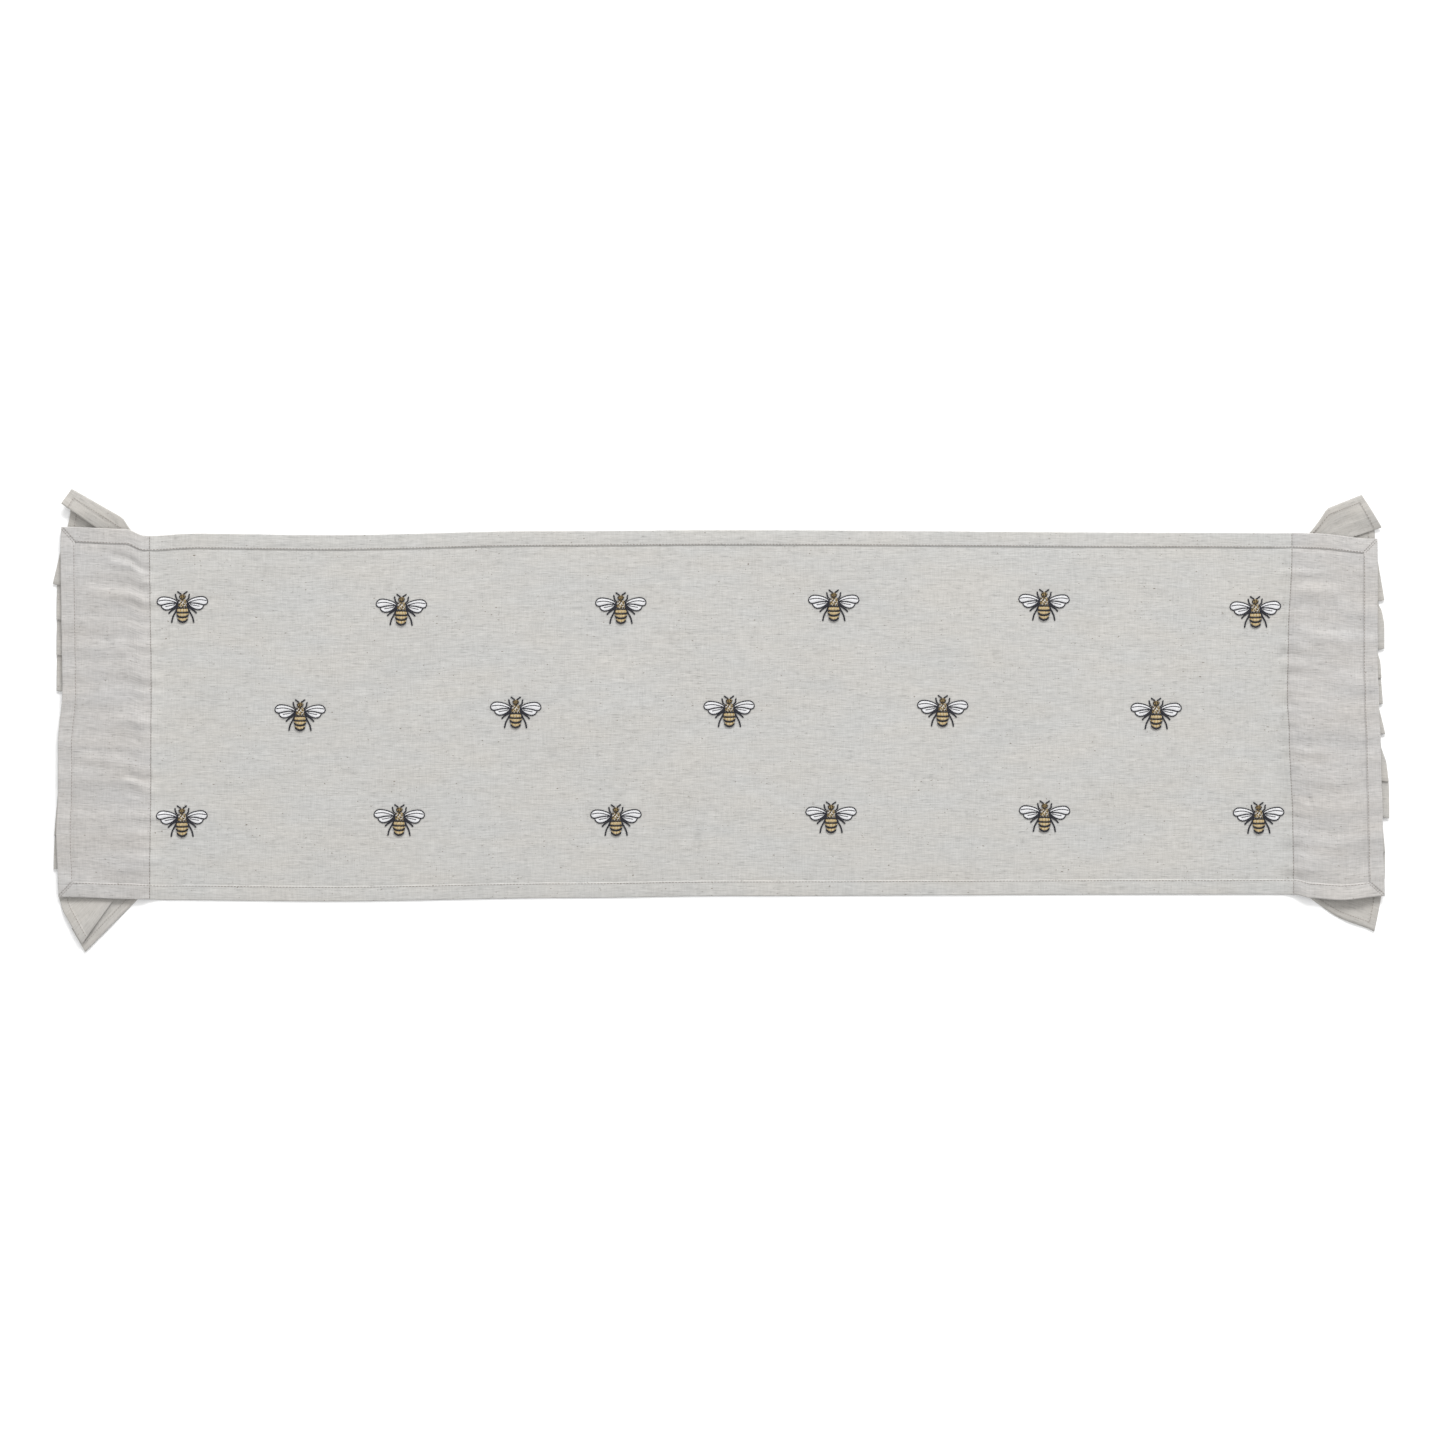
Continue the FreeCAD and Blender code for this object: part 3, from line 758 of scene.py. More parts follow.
class Ruffle:
    """One ruffle's surface, by place along its strip in metres and share of the way down it. It
    starts at the heading: the few millimetres from there to the seam aren't modelled."""

    def __init__(self, end):
        self.end = end
        self.stations = ruffle_stations(end)
        self.places = strip_places(self.stations)
        self.length = self.places[-1]

    def at_station(self, index, down):
        ruffle = bpy.context.scene.runner_ruffle
        head, hem, height, lift, swell = self.stations[index]
        flat = head.lerp(hem, down) * MM
        tip = TIPS[self.end][0 if flat.y > 0.0 else 1]
        if swell:
            round_profile = smooth(0.0, tip[2], down) * smooth(1.0, tip[2], down)
            sharp_profile = min((down / tip[2]) ** 2, (1.0 - down) / (1.0 - tip[2]))
            profile = round_profile + (sharp_profile - round_profile) * tip[3]
            flat.y += math.copysign(profile * swell * tip[1] * MM, flat.y)
        outside = smooth(HALF_WIDTH - 4.0 * MM, HALF_WIDTH + 20.0 * MM, abs(flat.y))
        layer = ruffle.layer * (0.62 + 0.38 * down)
        rise = layer * (1.0 + height) + 0.5 * self.thick(index, down) + 0.10 * MM
        rise += lift * MM * outside * (0.30 + 0.70 * down)
        rise += 0.22 * MM * (1.0 + grain(flat.x, flat.y, 24.0 * MM, 6.1)) * math.sin(math.pi * down)
        rise += crease_lift(RUFFLE_CREASES, self.end, flat.x / MM, flat.y / MM) * MM * outside
        rise += 0.7 * MM * outside * down * (1.0 + grain(flat.x, flat.y, 11.0 * MM, 2.6))
        return Vector((ENDS[self.end] * (SEAM + flat.x), flat.y, rise))

    def thick(self, index, down):
        ruffle = bpy.context.scene.runner_ruffle
        depth = (1.0 - down) * (FLAP_LENGTH - ruffle.heading)
        place = self.places[index]
        inward = min(depth, place, self.length - place)
        step = smooth(ruffle.hem_width + 0.3 * MM, ruffle.hem_width - 0.3 * MM, inward)
        edge = smooth(-0.2 * MM, 0.8 * MM, inward)
        return (ruffle.thickness + ruffle.hem_rise * step) * (0.45 + 0.55 * edge)

    def index_at(self, place):
        return min(range(len(self.places)), key=lambda index: abs(self.places[index] - place))

    def surface(self, place, down):
        index = bisect.bisect_right(self.places, place) - 1
        index = max(0, min(len(self.places) - 2, index))
        run = self.places[index + 1] - self.places[index]
        share = min(1.0, max(0.0, (place - self.places[index]) / run))
        return self.at_station(index, down).lerp(self.at_station(index + 1, down), share)

    def face(self, place, down):
        """A point on the upper face, and the way out of that face."""
        near = 0.8 * MM
        along = self.surface(place + near, down) - self.surface(place - near, down)
        outward = self.surface(place, min(1.0, down + 0.01)) - self.surface(place, down - 0.01)
        normal = outward.cross(along) * -ENDS[self.end]
        normal = normal.normalized() if normal.length > 1e-12 else UPRIGHT
        thick = self.thick(self.index_at(place), down)
        return self.surface(place, down) + normal * thick * 0.5, normal


def ruffle_rows():
    ruffle = bpy.context.scene.runner_ruffle
    hem = 1.0 - ruffle.hem_width / (FLAP_LENGTH - ruffle.heading)
    rows = [index / 22.0 for index in range(21)]
    rows += [hem - 0.012, hem - 0.004, hem + 0.004, hem + 0.012, 0.985, 0.994, 1.0]
    return merge(rows, least=0.002)


class RUNNER_OT_ruffles(bpy.types.Operator):
    """Make the gathered, hemmed ruffle under each end of the cloth"""

    bl_idname = "runner.ruffles"
    bl_label = "Ruffles"

    def execute(self, context):
        linen = linen_material("Ruffle Linen", (0.930, 0.910, 0.890), 1.1, 0.7)
        rows = ruffle_rows()
        for end in ENDS:
            surface = Ruffle(end)
            columns = [float(index) for index in range(len(surface.places))]
            piece = build_sheet(
                end + "_ruffle_cloth", columns, rows,
                lambda index, down, surface=surface: surface.at_station(int(index), down),
                lambda index, down, surface=surface: surface.thick(int(index), down), linen, False)
            for loop in piece.data.uv_layers["Cloth"].data:
                loop.uv = (loop.uv[1] * FLAP_LENGTH, surface.places[round(loop.uv[0])])
            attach(piece, end + "_ruffle_body")
            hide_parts(end + "_ruffle")
        return {"FINISHED"}


# ---------------------------------------------------------------- stitching

# Stitches in each row of a ruffle's heading, and down each of its short sides.
GATHERING_STITCHES = 170
SIDE_STITCHES = 26


class Thread:
    """Many stitches in one mesh. They are made in small batches, which keeps it quick."""

    BATCH = 16

    def __init__(self):
        self.whole = bmesh.new()
        self.part = bmesh.new()
        self.waiting = 0
        self.colour = 0

    def add(self, start, finish, half_thick, up=UPRIGHT, flatten=0.8):
        """One stitch: a thread that rises from start and sinks again at finish."""
        axis = finish - start
        if axis.length < 1e-6:
            return
        ahead = axis.normalized()
        sideways = up.cross(ahead).normalized()
        above = ahead.cross(sideways)
        turn = Matrix((sideways, above, ahead)).transposed().to_4x4()
        scale = Matrix.Diagonal((half_thick, half_thick * flatten, axis.length * 0.5, 1.0))
        place = Matrix.Translation((start + finish) * 0.5)
        bmesh.ops.create_uvsphere(
            self.part, u_segments=6, v_segments=4, radius=1.0, matrix=place @ turn @ scale)
        self.waiting += 1
        if self.waiting >= self.BATCH:
            self.gather()

    def lay(self, start, finish, height, half_thick, flatten):
        """A level stitch between two flat points, all in millimetres but its thickness."""
        self.add(Vector((start.x * MM, start.y * MM, height * MM)),
                 Vector((finish.x * MM, finish.y * MM, height * MM)), half_thick, flatten=flatten)

    def fleck(self, middle, turn, reach, half_thick):
        """A short stitch across a point that is in millimetres."""
        middle = Vector(middle) * MM
        lean = Vector((math.cos(turn), math.sin(turn), 0.0)) * reach * MM
        self.add(middle - lean, middle + lean, half_thick)

    def pad(self, outline, rise):
        """A thin closed plate under the threads. Millimetres."""
        verts = [self.part.verts.new((point.x * MM, point.y * MM, 0.0)) for point in outline]
        face = self.part.faces.new(verts)
        lifted = bmesh.ops.extrude_face_region(self.part, geom=[face])["geom"]
        top = [item for item in lifted if isinstance(item, bmesh.types.BMVert)]
        bmesh.ops.translate(self.part, verts=top, vec=(0.0, 0.0, rise * MM))

    def gather(self):
        for face in self.part.faces:
            face.material_index = self.colour
        batch = bpy.data.meshes.new("batch")
        self.part.to_mesh(batch)
        self.whole.from_mesh(batch)
        bpy.data.meshes.remove(batch)
        self.part.clear()
        self.waiting = 0

    def use_colour(self, index):
        self.gather()
        self.colour = index

    def mesh(self):
        """The whole as a bmesh, which the caller frees."""
        self.gather()
        self.part.free()
        return self.whole


def sew_line(thread, line, run, pitch, half_thick, gap=0.22):
    """Stitches along a line of the cloth. line gives a point for a distance along it."""
    count = max(1, round(run / pitch))
    step = run / count
    for index in range(count):
        start = line(step * (index + gap * 0.5))
        finish = line(step * (index + 1.0 - gap * 0.5))
        thread.add(start, finish, half_thick)


def finish_stitches(thread, name, material, body=None, end=None):
    """The stitches as a piece in place of a thread of the frame. They ride on a body, or, for an end's
    flap, have their placement baked into the mesh."""
    piece = new_piece(name + "_stitches", thread.mesh(), [material])
    if end:
        join_at_seam(piece)
    else:
        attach(piece, body)
    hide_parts(name + "_thread")


def sew_panel_hems(material):
    stitch = bpy.context.scene.runner_stitch
    inset = bpy.context.scene.runner_cloth.hem_width - stitch.hem_inset
    for edge, across in (("upper", HALF_WIDTH - inset), ("lower", -HALF_WIDTH + inset)):
        thread = Thread()
        sew_line(thread, lambda run, across=across: on_cloth(run - SEAM, across), 2.0 * SEAM,
                 stitch.pitch, stitch.radius)
        finish_stitches(thread, edge + "_hem", material, ROOT)


def sew_flap(material, end):
    """The hem stitches round a flap's three free sides, and the seam of each mitre."""
    stitch = bpy.context.scene.runner_stitch
    cloth = bpy.context.scene.runner_cloth
    side = ENDS[end]
    inset = cloth.hem_width - stitch.hem_inset
    long_run = FLAP_LENGTH - inset
    wide_run = HALF_WIDTH - inset
    thread = Thread()
    for across in (wide_run, -wide_run):
        sew_line(thread, lambda run, across=across: on_cloth(side * (SEAM + run), across), long_run,
                 stitch.pitch, stitch.radius)
    sew_line(thread, lambda run: on_cloth(side * (SEAM + long_run), wide_run - run), 2.0 * wide_run,
             stitch.pitch, stitch.radius)
    finish_stitches(thread, end + "_flap_hem", material, end=end)
    for edge, sign in (("upper", 1.0), ("lower", -1.0)):
        thread = Thread()

        def mitre(run, offset=0.0, sign=sign):
            out = SEAM + FLAP_LENGTH - cloth.hem_width + run + offset
            return on_cloth(side * out, sign * (HALF_WIDTH - cloth.hem_width + run - offset))

        for offset in (0.75 * MM, -0.75 * MM):
            sew_line(thread, lambda run, offset=offset, mitre=mitre: mitre(run + 0.9 * MM, offset),
                     cloth.hem_width - 2.2 * MM, 1.7 * MM, stitch.radius, 0.3)
        finish_stitches(thread, "{}_{}_mitre".format(end, edge), material, end=end)


def sew_ruffle_seam(material, end):
    """The line of stitches across the cloth that holds the ruffle."""
    stitch = bpy.context.scene.runner_stitch
    along = ENDS[end] * (SEAM - 0.3 * MM)
    thread = Thread()
    top = HALF_WIDTH - 1.0 * MM
    sew_line(thread, lambda run: on_cloth(along, top - run), 2.0 * HALF_WIDTH - 2.0 * MM,
             stitch.pitch * 0.9, stitch.radius * 1.05)
    finish_stitches(thread, end + "_seam", material, ROOT)


def sew_ruffle(material, end):
    """The hem stitches round a ruffle's free sides, and the thread that gathers its heading."""
    stitch = bpy.context.scene.runner_stitch
    ruffle = bpy.context.scene.runner_ruffle
    surface = Ruffle(end)
    inset = ruffle.hem_width - 0.8 * MM
    hem_down = 1.0 - inset / (FLAP_LENGTH - ruffle.heading)

    def row(thread, place, count):
        for index in range(count):
            start, first_up = place((index + 0.12) / count)
            finish, last_up = place((index + 0.88) / count)
            if (finish - start).length < 1.6 * stitch.pitch:
                thread.add(start, finish, stitch.radius, (first_up + last_up).normalized())

    thread = Thread()
    inner = surface.length - 2.0 * inset
    row(thread, lambda part: surface.face(inset + inner * part, hem_down), round(inner / stitch.pitch))
    for place in (inset, surface.length - inset):
        row(thread, lambda part, place=place: surface.face(place, 0.05 + (hem_down - 0.05) * part),
            SIDE_STITCHES)
    finish_stitches(thread, end + "_ruffle_hem", material, end + "_ruffle_body")
    thread = Thread()
    for down in (0.012, 0.045):
        row(thread, lambda part, down=down: surface.face(surface.length * (0.01 + 0.98 * part), down),
            GATHERING_STITCHES)
    finish_stitches(thread, end + "_gathering", material, end + "_ruffle_body")


class RUNNER_OT_stitching(bpy.types.Operator):
    """Sew the hems, the mitred corners, the ruffle seams and the gathers, stitch by stitch"""

    bl_idname = "runner.stitching"
    bl_label = "Stitching"

    def execute(self, context):
        material = thread_material("Sewing Thread", context.scene.runner_stitch.colour, 0.8, 0.15, 0.25)
        sew_panel_hems(material)
        for end in ENDS:
            sew_flap(material, end)
            sew_ruffle_seam(material, end)
            sew_ruffle(material, end)
        return {"FINISHED"}


# ---------------------------------------------------------------- the bees

# The right half of one bee in millimetres from the middle of its thorax, its head towards +Y.
FORE_WING = (
    (4.0, 2.0), (5.4, 3.6), (9.2, 5.7), (13.8, 7.0), (18.2, 7.4), (21.0, 6.6), (22.9, 4.6), (23.4, 2.2),
    (22.4, 0.3), (20.0, -0.5), (16.8, 0.3), (12.4, 1.3), (8.0, 1.5),
)
HIND_WING = (
    (5.2, 0.6), (8.2, 1.2), (12.4, 0.8), (16.6, 0.1), (19.6, -1.0), (18.4, -3.4), (15.4, -4.9),
    (11.6, -4.2), (8.2, -2.4),
)
HEAD = ((0.0, 9.4), (1.6, 9.1), (2.7, 7.9), (2.5, 6.4), (1.6, 5.0), (0.0, 4.6))
THORAX = ((0.0, 5.0), (2.3, 4.6), (3.6, 3.0), (3.9, 0.8), (3.6, -1.4), (2.4, -2.8), (0.0, -3.2))
GOLD_BANDS = (
    ((0.0, -3.2), (4.0, -3.3), (4.9, -4.4), (5.4, -6.4), (2.8, -7.0), (0.0, -7.1)),
    ((0.0, -7.8), (3.0, -7.8), (5.3, -7.6), (5.2, -9.2), (3.2, -10.6), (0.0, -11.2)),
    ((0.0, -12.2), (2.8, -11.7), (4.4, -11.0), (4.2, -13.0), (2.6, -14.8), (0.0, -15.6)),
)
# Dark lines on each side: half thickness of the line, then its points.
DARK_SIDES = (
    (0.58, FORE_WING + FORE_WING[:1]),
    (0.64, HIND_WING[4:] + HIND_WING[:1]),
    (0.50, ((6.0, 2.2), (12.0, 4.0), (17.0, 4.4), (22.2, 3.6))),
    (0.42, ((7.0, 0.2), (11.6, -0.9), (15.8, -1.6))),
    (0.78, ((0.9, 9.6), (2.4, 10.6), (4.6, 12.2))),
    (0.76, ((4.4, 4.6), (6.5, 6.6), (5.8, 7.6), (6.6, 9.9))),
    (0.86, ((4.6, -0.6), (7.4, -2.9), (10.2, -5.2), (13.0, -8.1))),
    (0.72, ((5.2, -2.4), (8.0, -4.1), (10.6, -5.9))),
    (0.86, ((5.6, -4.6), (7.4, -8.2), (9.2, -11.6), (10.2, -16.6))),
    (0.80, ((3.5, 4.6), (4.2, 2.4), (4.3, 0.0), (4.6, -2.2), (5.6, -4.6), (6.0, -7.0))),
    (0.46, ((4.3, 1.2), (6.0, 0.9), (8.0, 1.4))),
)
# Dark lines across the middle: half thickness, then the right half's points from the middle out.
DARK_MIDDLE = (
    (0.74, ((0.0, -3.2), (2.0, -3.4), (4.4, -3.0))),
    (0.86, ((0.0, -7.5), (3.2, -7.4), (6.2, -6.9))),
    (0.84, ((0.0, -11.8), (3.2, -11.1), (5.5, -9.6))),
    (0.60, ((0.0, -12.4), (3.0, -11.7), (4.9, -10.8))),
    (0.90, ((0.0, -16.5), (2.9, -15.4), (4.6, -13.4))),
    (0.46, ((0.0, -15.8), (2.6, -14.8))),
    (0.42, ((0.0, 5.0), (2.5, 6.2), (2.9, 8.2))),
)
# The short dark stitches on the head and thorax, as place and direction.
DARK_FLECKS = (
    ((-1.4, 8.5), 25), ((1.3, 8.1), 150), ((-0.4, 6.5), 75), ((1.6, 6.0), 40), ((-2.5, 3.6), 50),
    ((2.7, 2.6), 110), ((-0.6, 2.4), 30), ((0.8, 4.0), 140), ((1.5, 0.4), 125), ((-2.4, 0.6), 70),
    ((-0.8, -0.6), 100), ((0.3, -1.9), 10), ((2.5, -1.6), 60), ((-2.6, -2.2), 20),
)
# From the middle of the wings' box down to the drawing's middle, in millimetres.
WING_DROP = 0.6
# Between neighbouring satin threads, and the height of the pad under them, in millimetres.
SATIN_PITCH = 0.56
PADDING = 0.15
# Between the stitches of a drawn line, in millimetres.
LINE_PITCH = 1.15


def mirrored(points):
    return tuple((-x, y) for x, y in reversed(points))


def whole(half):
    """A closed outline from its right half, which starts and ends on the middle line."""
    return half + mirrored(half)[1:-1]


def rounded(points, pieces=3):
    """More points on an even curve through a closed outline."""
    count = len(points)
    result = []
    for index in range(count):
        corners = [Vector(points[(index + shift) % count]) for shift in (-1, 0, 1, 2)]
        for part in range(pieces):
            result.append(even_curve(corners, part / pieces))
    return result


def even_curve(corners, part):
    before, first, last, after = corners
    square, cube = part * part, part ** 3
    return 0.5 * (2.0 * first + (last - before) * part
                  + (2.0 * before - 5.0 * first + 4.0 * last - after) * square
                  + (3.0 * first - before - 3.0 * last + after) * cube)


def trail(points, spacing):
    """Evenly spaced points on an even curve through an open line."""
    knots = [Vector(point) for point in points]
    knots = [knots[0] * 2.0 - knots[1]] + knots + [knots[-1] * 2.0 - knots[-2]]
    dense = []
    for index in range(len(knots) - 3):
        dense += [even_curve(knots[index:index + 4], part / 12.0) for part in range(12)]
    dense.append(knots[-2])
    total = sum((last - first).length for first, last in zip(dense, dense[1:]))
    count = max(2, round(total / spacing))
    spots, travelled, goal = [dense[0]], 0.0, total / count
    for first, last in zip(dense, dense[1:]):
        run = (last - first).length
        while travelled + run >= goal - 1e-9 and len(spots) < count:
            spots.append(first.lerp(last, (goal - travelled) / run))
            goal += total / count
        travelled += run
    return spots + [dense[-1]]


def crossings(outline, height):
    """Where a level line crosses a closed outline, from left to right."""
    found = []
    for index, first in enumerate(outline):
        last = outline[(index + 1) % len(outline)]
        if (first.y > height) != (last.y > height):
            found.append(first.x + (last.x - first.x) * (height - first.y) / (last.y - first.y))
    return sorted(found)


def fill_satin(thread, outline, angle, spacing, half_thick, dome, base, colours=(0,)):
    """Parallel threads that fill an outline at an angle, over a thin padded base. colours are the
    materials that the threads take in turn."""
    outline = rounded(outline)
    thread.use_colour(colours[0])
    thread.pad(outline, base + dome * 0.3)
    turn = Matrix.Rotation(-angle, 2)
    back = Matrix.Rotation(angle, 2)
    turned = [turn @ point for point in outline]
    low = min(point.y for point in turned)
    high = max(point.y for point in turned)
    count = max(1, round((high - low) / spacing))
    for index in range(count):
        height = low + (high - low) * (index + 0.5) / count
        marks = crossings(turned, height)
        arch = math.sin(math.pi * (index + 0.5) / count)
        if len(colours) > 1:
            thread.use_colour(colours[index % len(colours)])
        for left, right in zip(marks[::2], marks[1::2]):
            wobble = 0.12 * math.sin(index * 2.4)
            start = back @ Vector((left - 0.25 + wobble, height))
            finish = back @ Vector((right + 0.25 + wobble, height))
            thread.lay(start, finish, base + dome * arch, half_thick * 1.15, 0.75 + dome * 0.5)


def draw_line(thread, half, points, base):
    """A drawn line of overlapping stitches. half is its half thickness in millimetres."""
    spots = trail(points, LINE_PITCH)
    for index in range(len(spots) - 1):
        first = spots[max(0, index - 1)] if index % 2 else spots[index]
        last = spots[index + 1]
        if index + 2 < len(spots):
            last = last.lerp(spots[index + 2], 0.45)
        direction = (last - first).normalized() * 0.25
        thread.lay(first - direction, last + direction, base, half * MM, 0.62)


def draw_bee_wings():
    bee = bpy.context.scene.runner_bee
    thread = Thread()
    for side in (1, -1):
        for wing, angle, base in ((HIND_WING, 68, 0.12), (FORE_WING, 100, 0.22)):
            outline = wing if side > 0 else mirrored(wing)
            lean = math.radians(angle if side > 0 else 180 - angle)
            fill_satin(thread, outline, lean, SATIN_PITCH, bee.strand, 0.12, base)
    return thread.mesh()


def draw_bee_body():
    """Bands, head and mottled thorax in gold (0), pale (1), brown (2) and white (3) threads."""
    bee = bpy.context.scene.runner_bee
    thread = Thread()
    dome = bee.rise / MM
    for index, band in enumerate(GOLD_BANDS):
        lean = math.radians(90 + 6 * (index - 1))
        fill_satin(thread, whole(band), lean, SATIN_PITCH, bee.strand, dome, PADDING, (0, 1, 0, 0, 1))
    fill_satin(thread, whole(HEAD), math.radians(72), 0.54, bee.strand, dome, PADDING, (2, 0, 2))
    fill_satin(thread, whole(THORAX), math.radians(64), 0.52, bee.strand, dome, PADDING,
               (0, 2, 3, 0, 1, 2))
    for radius, count in ((2.7, 11), (1.4, 6)):
        for index in range(count):
            turn = 2.0 * math.pi * index / count + radius
            thread.use_colour((3, 2, 0, 1, 2)[index % 5])
            middle = (math.cos(turn) * radius, 0.9 + math.sin(turn) * radius, 1.0)
            thread.fleck(middle, turn * 1.7, 0.9, bee.strand)
    return thread.mesh()


def draw_bee_lines():
    thread = Thread()
    for half, points in DARK_SIDES:
        base = 0.42 if half > 0.55 else 0.5
        draw_line(thread, half, points, base)
        draw_line(thread, half, mirrored(points), base)
    for half, points in DARK_MIDDLE:
        draw_line(thread, half, mirrored(points)[:-1] + points, 0.95)
    for (x, y), degrees in DARK_FLECKS:
        thread.fleck((x, y, 1.25), math.radians(degrees), 1.0, 0.44 * MM)
    return thread.mesh()


def settle_on_cloth(mesh, place, turn):
    """Move a drawn bee to its place and lay it on the cloth's surface."""
    mesh.transform(Matrix.Translation(place) @ Matrix.Rotation(turn, 4, "Z"))
    for vertex in mesh.vertices:
        x, y = vertex.co.x, vertex.co.y
        plan_x, plan_y = cloth_plan(x, y)
        vertex.co.z += cloth_top(2.0 * x - plan_x, 2.0 * y - plan_y) + BEE_RISE


class RUNNER_OT_bees(bpy.types.Operator):
    """Embroider every bee: satin wings, padded body, and dark lines for veins and legs"""

    bl_idname = "runner.bees"
    bl_label = "Bees"

    def execute(self, context):
        bee = context.scene.runner_bee
        wing = thread_material("Wing Thread", bee.wing, 0.45, 0.3, 0.10)
        gold = thread_material("Gold Thread", bee.gold, 0.45, 0.3, 0.45)
        pale = thread_material("Pale Gold Thread", bee.pale, 0.45, 0.3, 0.35)
        brown = thread_material("Brown Thread", bee.brown, 0.55, 0.2, 0.5)
        dark = thread_material("Dark Thread", bee.dark, 0.55, 0.1, 0.3)
        drawings = (
            ("wing_satin", draw_bee_wings(), [wing], "wings", "wing_thread"),
            ("body_satin", draw_bee_body(), [gold, pale, brown, wing], "body", "body_thread"),
            ("dark_lines", draw_bee_lines(), [dark], "body", "body_thread"),
        )
        masters = []
        for label, bm, materials, node, slot in drawings:
            masters.append((label, new_piece("master_" + label, bm, materials), node, slot))
        numbers = sorted(int(name.split("_")[1]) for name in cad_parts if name.endswith("_wings"))
        for number in numbers:
            low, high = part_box("bee_{:02d}_wings".format(number))
            middle_x, middle_y = (low.x + high.x) * 0.5, (low.y + high.y) * 0.5
            place = Vector((middle_x, middle_y - WING_DROP * MM, 0.0))
            turn = math.radians(0.9 * math.sin(number * 2.3))
            for label, master, node, slot in masters:
                mesh = master.data.copy()
                settle_on_cloth(mesh, place, turn)
                piece = bpy.data.objects.new("bee_{:02d}_{}".format(number, label), mesh)
                context.scene.collection.objects.link(piece)
                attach(piece, ROOT)
                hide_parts("bee_{:02d}_{}".format(number, node))
        for _, master, _, _ in masters:
            bpy.data.objects.remove(master)
        return {"FINISHED"}


# ---------------------------------------------------------------- an empty step

class RUNNER_OT_declare_cloth(bpy.types.Operator):
    """A step that makes no change"""

    bl_idname = "runner.declare_cloth"
    bl_label = "Declare Cloth"

    def execute(self, context):
        return {"FINISHED"}


# ---------------------------------------------------------------- the stage

# The key light stands beyond the upper edge, in metres.
KEY_PLACE = (1.0, 5.0, 3.3)
KEY_SIZE = (3.6, 2.0)


def add_floor(stage):
    bm = bmesh.new()
    bmesh.ops.create_grid(bm, x_segments=1, y_segments=1, size=6.0)
    material, _, shader = new_material("Pale Table", 0.9, 0.0)
    shader.inputs["Base Color"].default_value = list(stage.floor) + [1.0]
    floor = new_piece("floor", bm, [material])


def add_light(name, place, size, power):
    """A rectangular light that faces the middle of the runner."""
    light = bpy.data.lights.new(name, "AREA")
    light.shape = "RECTANGLE"
    light.size, light.size_y = size
    light.energy = power
    lamp = bpy.data.objects.new(name, light)
    lamp.location = place
    lamp.rotation_euler = (-Vector(place)).to_track_quat("-Z", "Y").to_euler()
    bpy.context.scene.collection.objects.link(lamp)


def add_camera(stage):
    camera = bpy.data.cameras.new("camera")
    camera.lens = stage.lens
    distance = stage.frame_width * stage.lens / camera.sensor_width
    eye = bpy.data.objects.new("camera", camera)
    eye.location = (stage.look_x, stage.look_y, distance)
    bpy.context.scene.collection.objects.link(eye)
    bpy.context.scene.camera = eye


def add_sky(stage):
    world = bpy.data.worlds.new("sky")
    world.use_nodes = True
    background = world.node_tree.nodes["Background"]
    background.inputs["Color"].default_value = (1.0, 1.0, 1.0, 1.0)
    background.inputs["Strength"].default_value = stage.sky
    bpy.context.scene.world = world


class RUNNER_OT_stage(bpy.types.Operator):
    """Set a pale table top, soft studio light and a camera straight above"""

    bl_idname = "runner.stage"
    bl_label = "Stage"

    def execute(self, context):
        stage = context.scene.runner_stage
        add_floor(stage)
        add_sky(stage)
        add_camera(stage)
        add_light("key", KEY_PLACE, KEY_SIZE, stage.key)
        context.scene.view_settings.view_transform = "Standard"
        return {"FINISHED"}


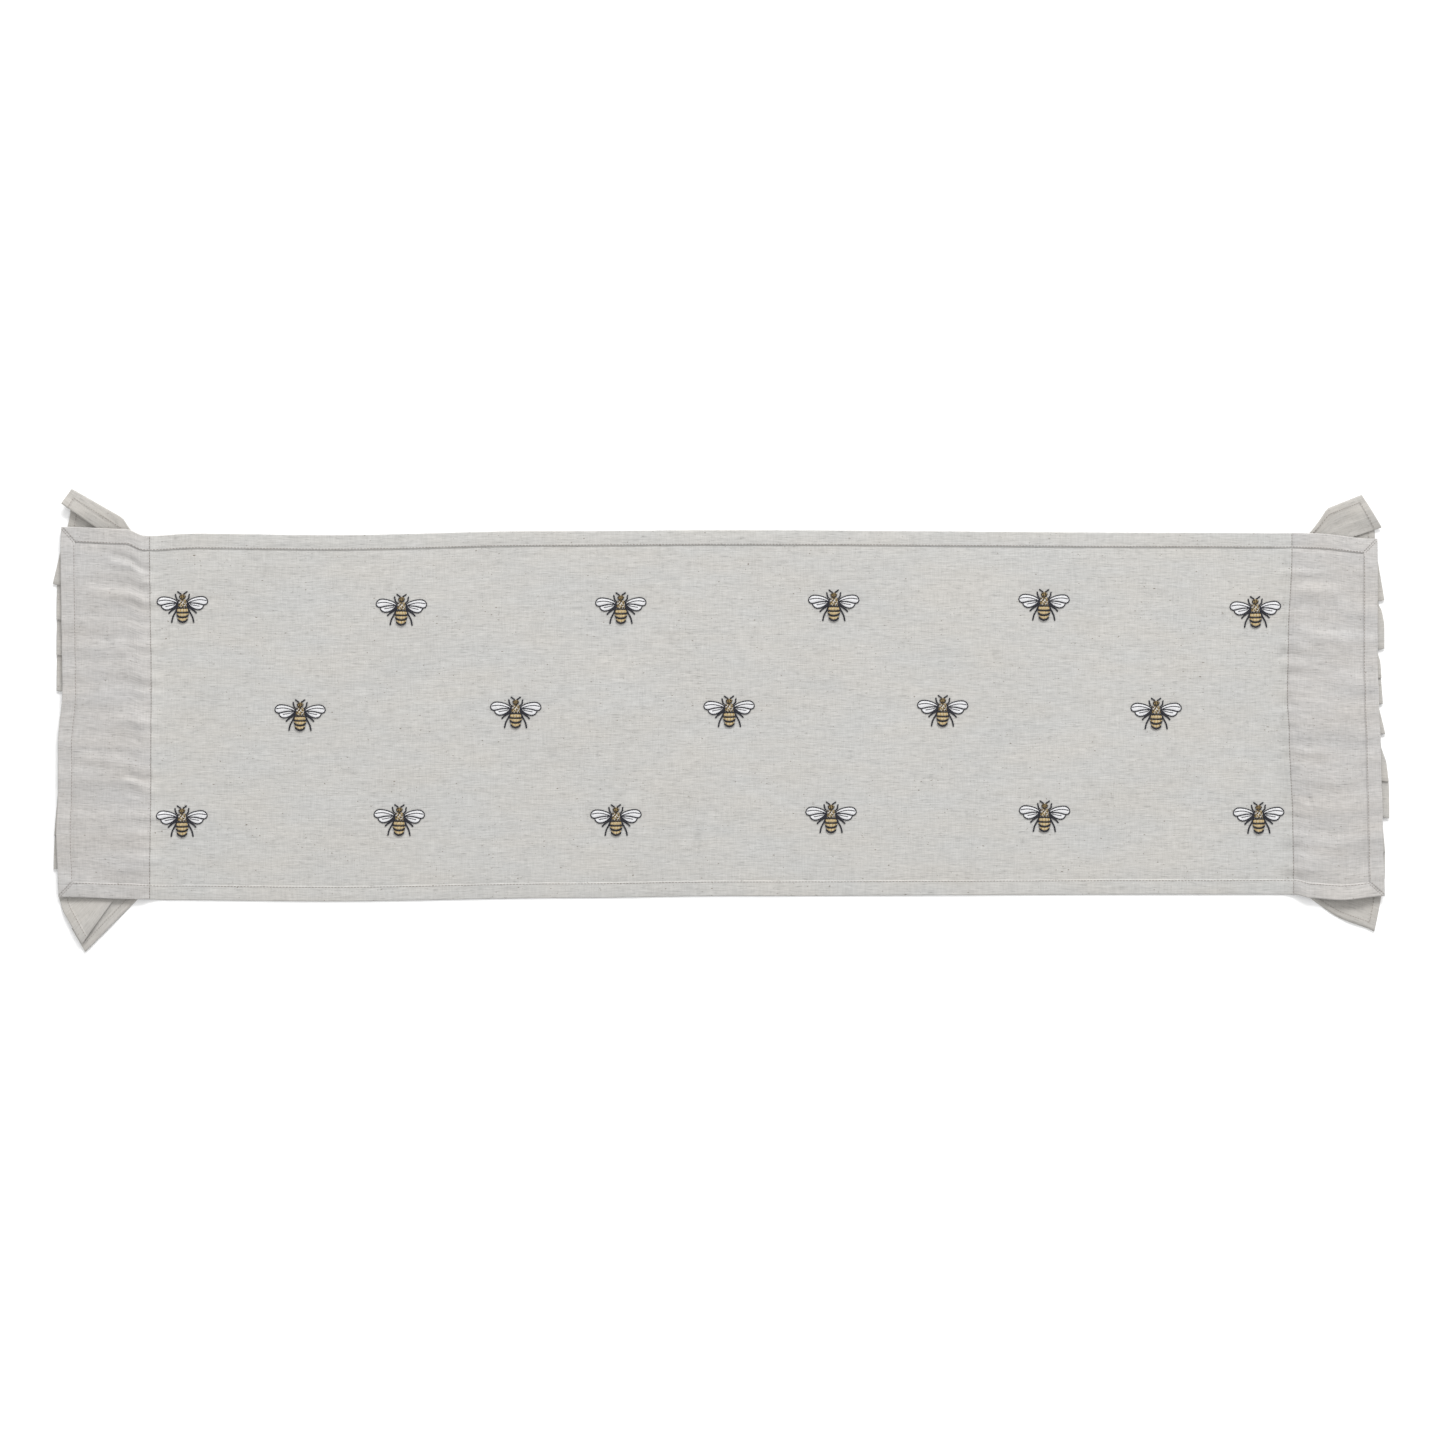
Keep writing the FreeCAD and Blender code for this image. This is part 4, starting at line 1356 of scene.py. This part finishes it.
class RUNNER_OT_node_groups(bpy.types.Operator):
    """Make the shader node groups that the runner's materials share"""

    bl_idname = "runner.node_groups"
    bl_label = "Node Groups"

    def execute(self, context):
        make_weave_group()
        make_twist_group()
        return {"FINISHED"}


# ---------------------------------------------------------------- panel and registration

class RUNNER_PT_panel(bpy.types.Panel):
    """Lists the steps that make the runner"""

    bl_label = "Table Runner"
    bl_idname = "RUNNER_PT_panel"
    bl_space_type = "VIEW_3D"
    bl_region_type = "UI"
    bl_category = "Table Runner"

    def draw(self, context):
        for operator in OPERATORS:
            self.layout.operator(operator.bl_idname)
        for name in SETTINGS:
            group = getattr(context.scene, name)
            box = self.layout.box()
            for field in group.bl_rna.properties:
                if not field.is_readonly and field.identifier != "name":
                    box.prop(group, field.identifier)


SETTINGS = {
    "runner_cloth": RunnerClothSettings,
    "runner_ruffle": RunnerRuffleSettings,
    "runner_stitch": RunnerStitchSettings,
    "runner_bee": RunnerBeeSettings,
    "runner_stage": RunnerStageSettings,
}
OPERATORS = (
    RUNNER_OT_node_groups,
    RUNNER_OT_stage,
    RUNNER_OT_cloth,
    RUNNER_OT_ruffles,
    RUNNER_OT_stitching,
    RUNNER_OT_bees,
    RUNNER_OT_declare_cloth,
)


def register():
    for settings in SETTINGS.values():
        bpy.utils.register_class(settings)
    for operator in OPERATORS:
        bpy.utils.register_class(operator)
    bpy.utils.register_class(RUNNER_PT_panel)
    for name, settings in SETTINGS.items():
        setattr(bpy.types.Scene, name, PointerProperty(type=settings))


def unregister():
    for name in SETTINGS:
        delattr(bpy.types.Scene, name)
    bpy.utils.unregister_class(RUNNER_PT_panel)
    for operator in reversed(OPERATORS):
        bpy.utils.unregister_class(operator)
    for settings in reversed(SETTINGS.values()):
        bpy.utils.unregister_class(settings)


def main():
    register()
    bpy.ops.runner.node_groups()
    bpy.ops.runner.stage()
    bpy.ops.runner.cloth()
    bpy.ops.runner.ruffles()
    bpy.ops.runner.stitching()
    bpy.ops.runner.bees()
    bpy.ops.runner.declare_cloth()


if __name__ == "__main__":
    main()
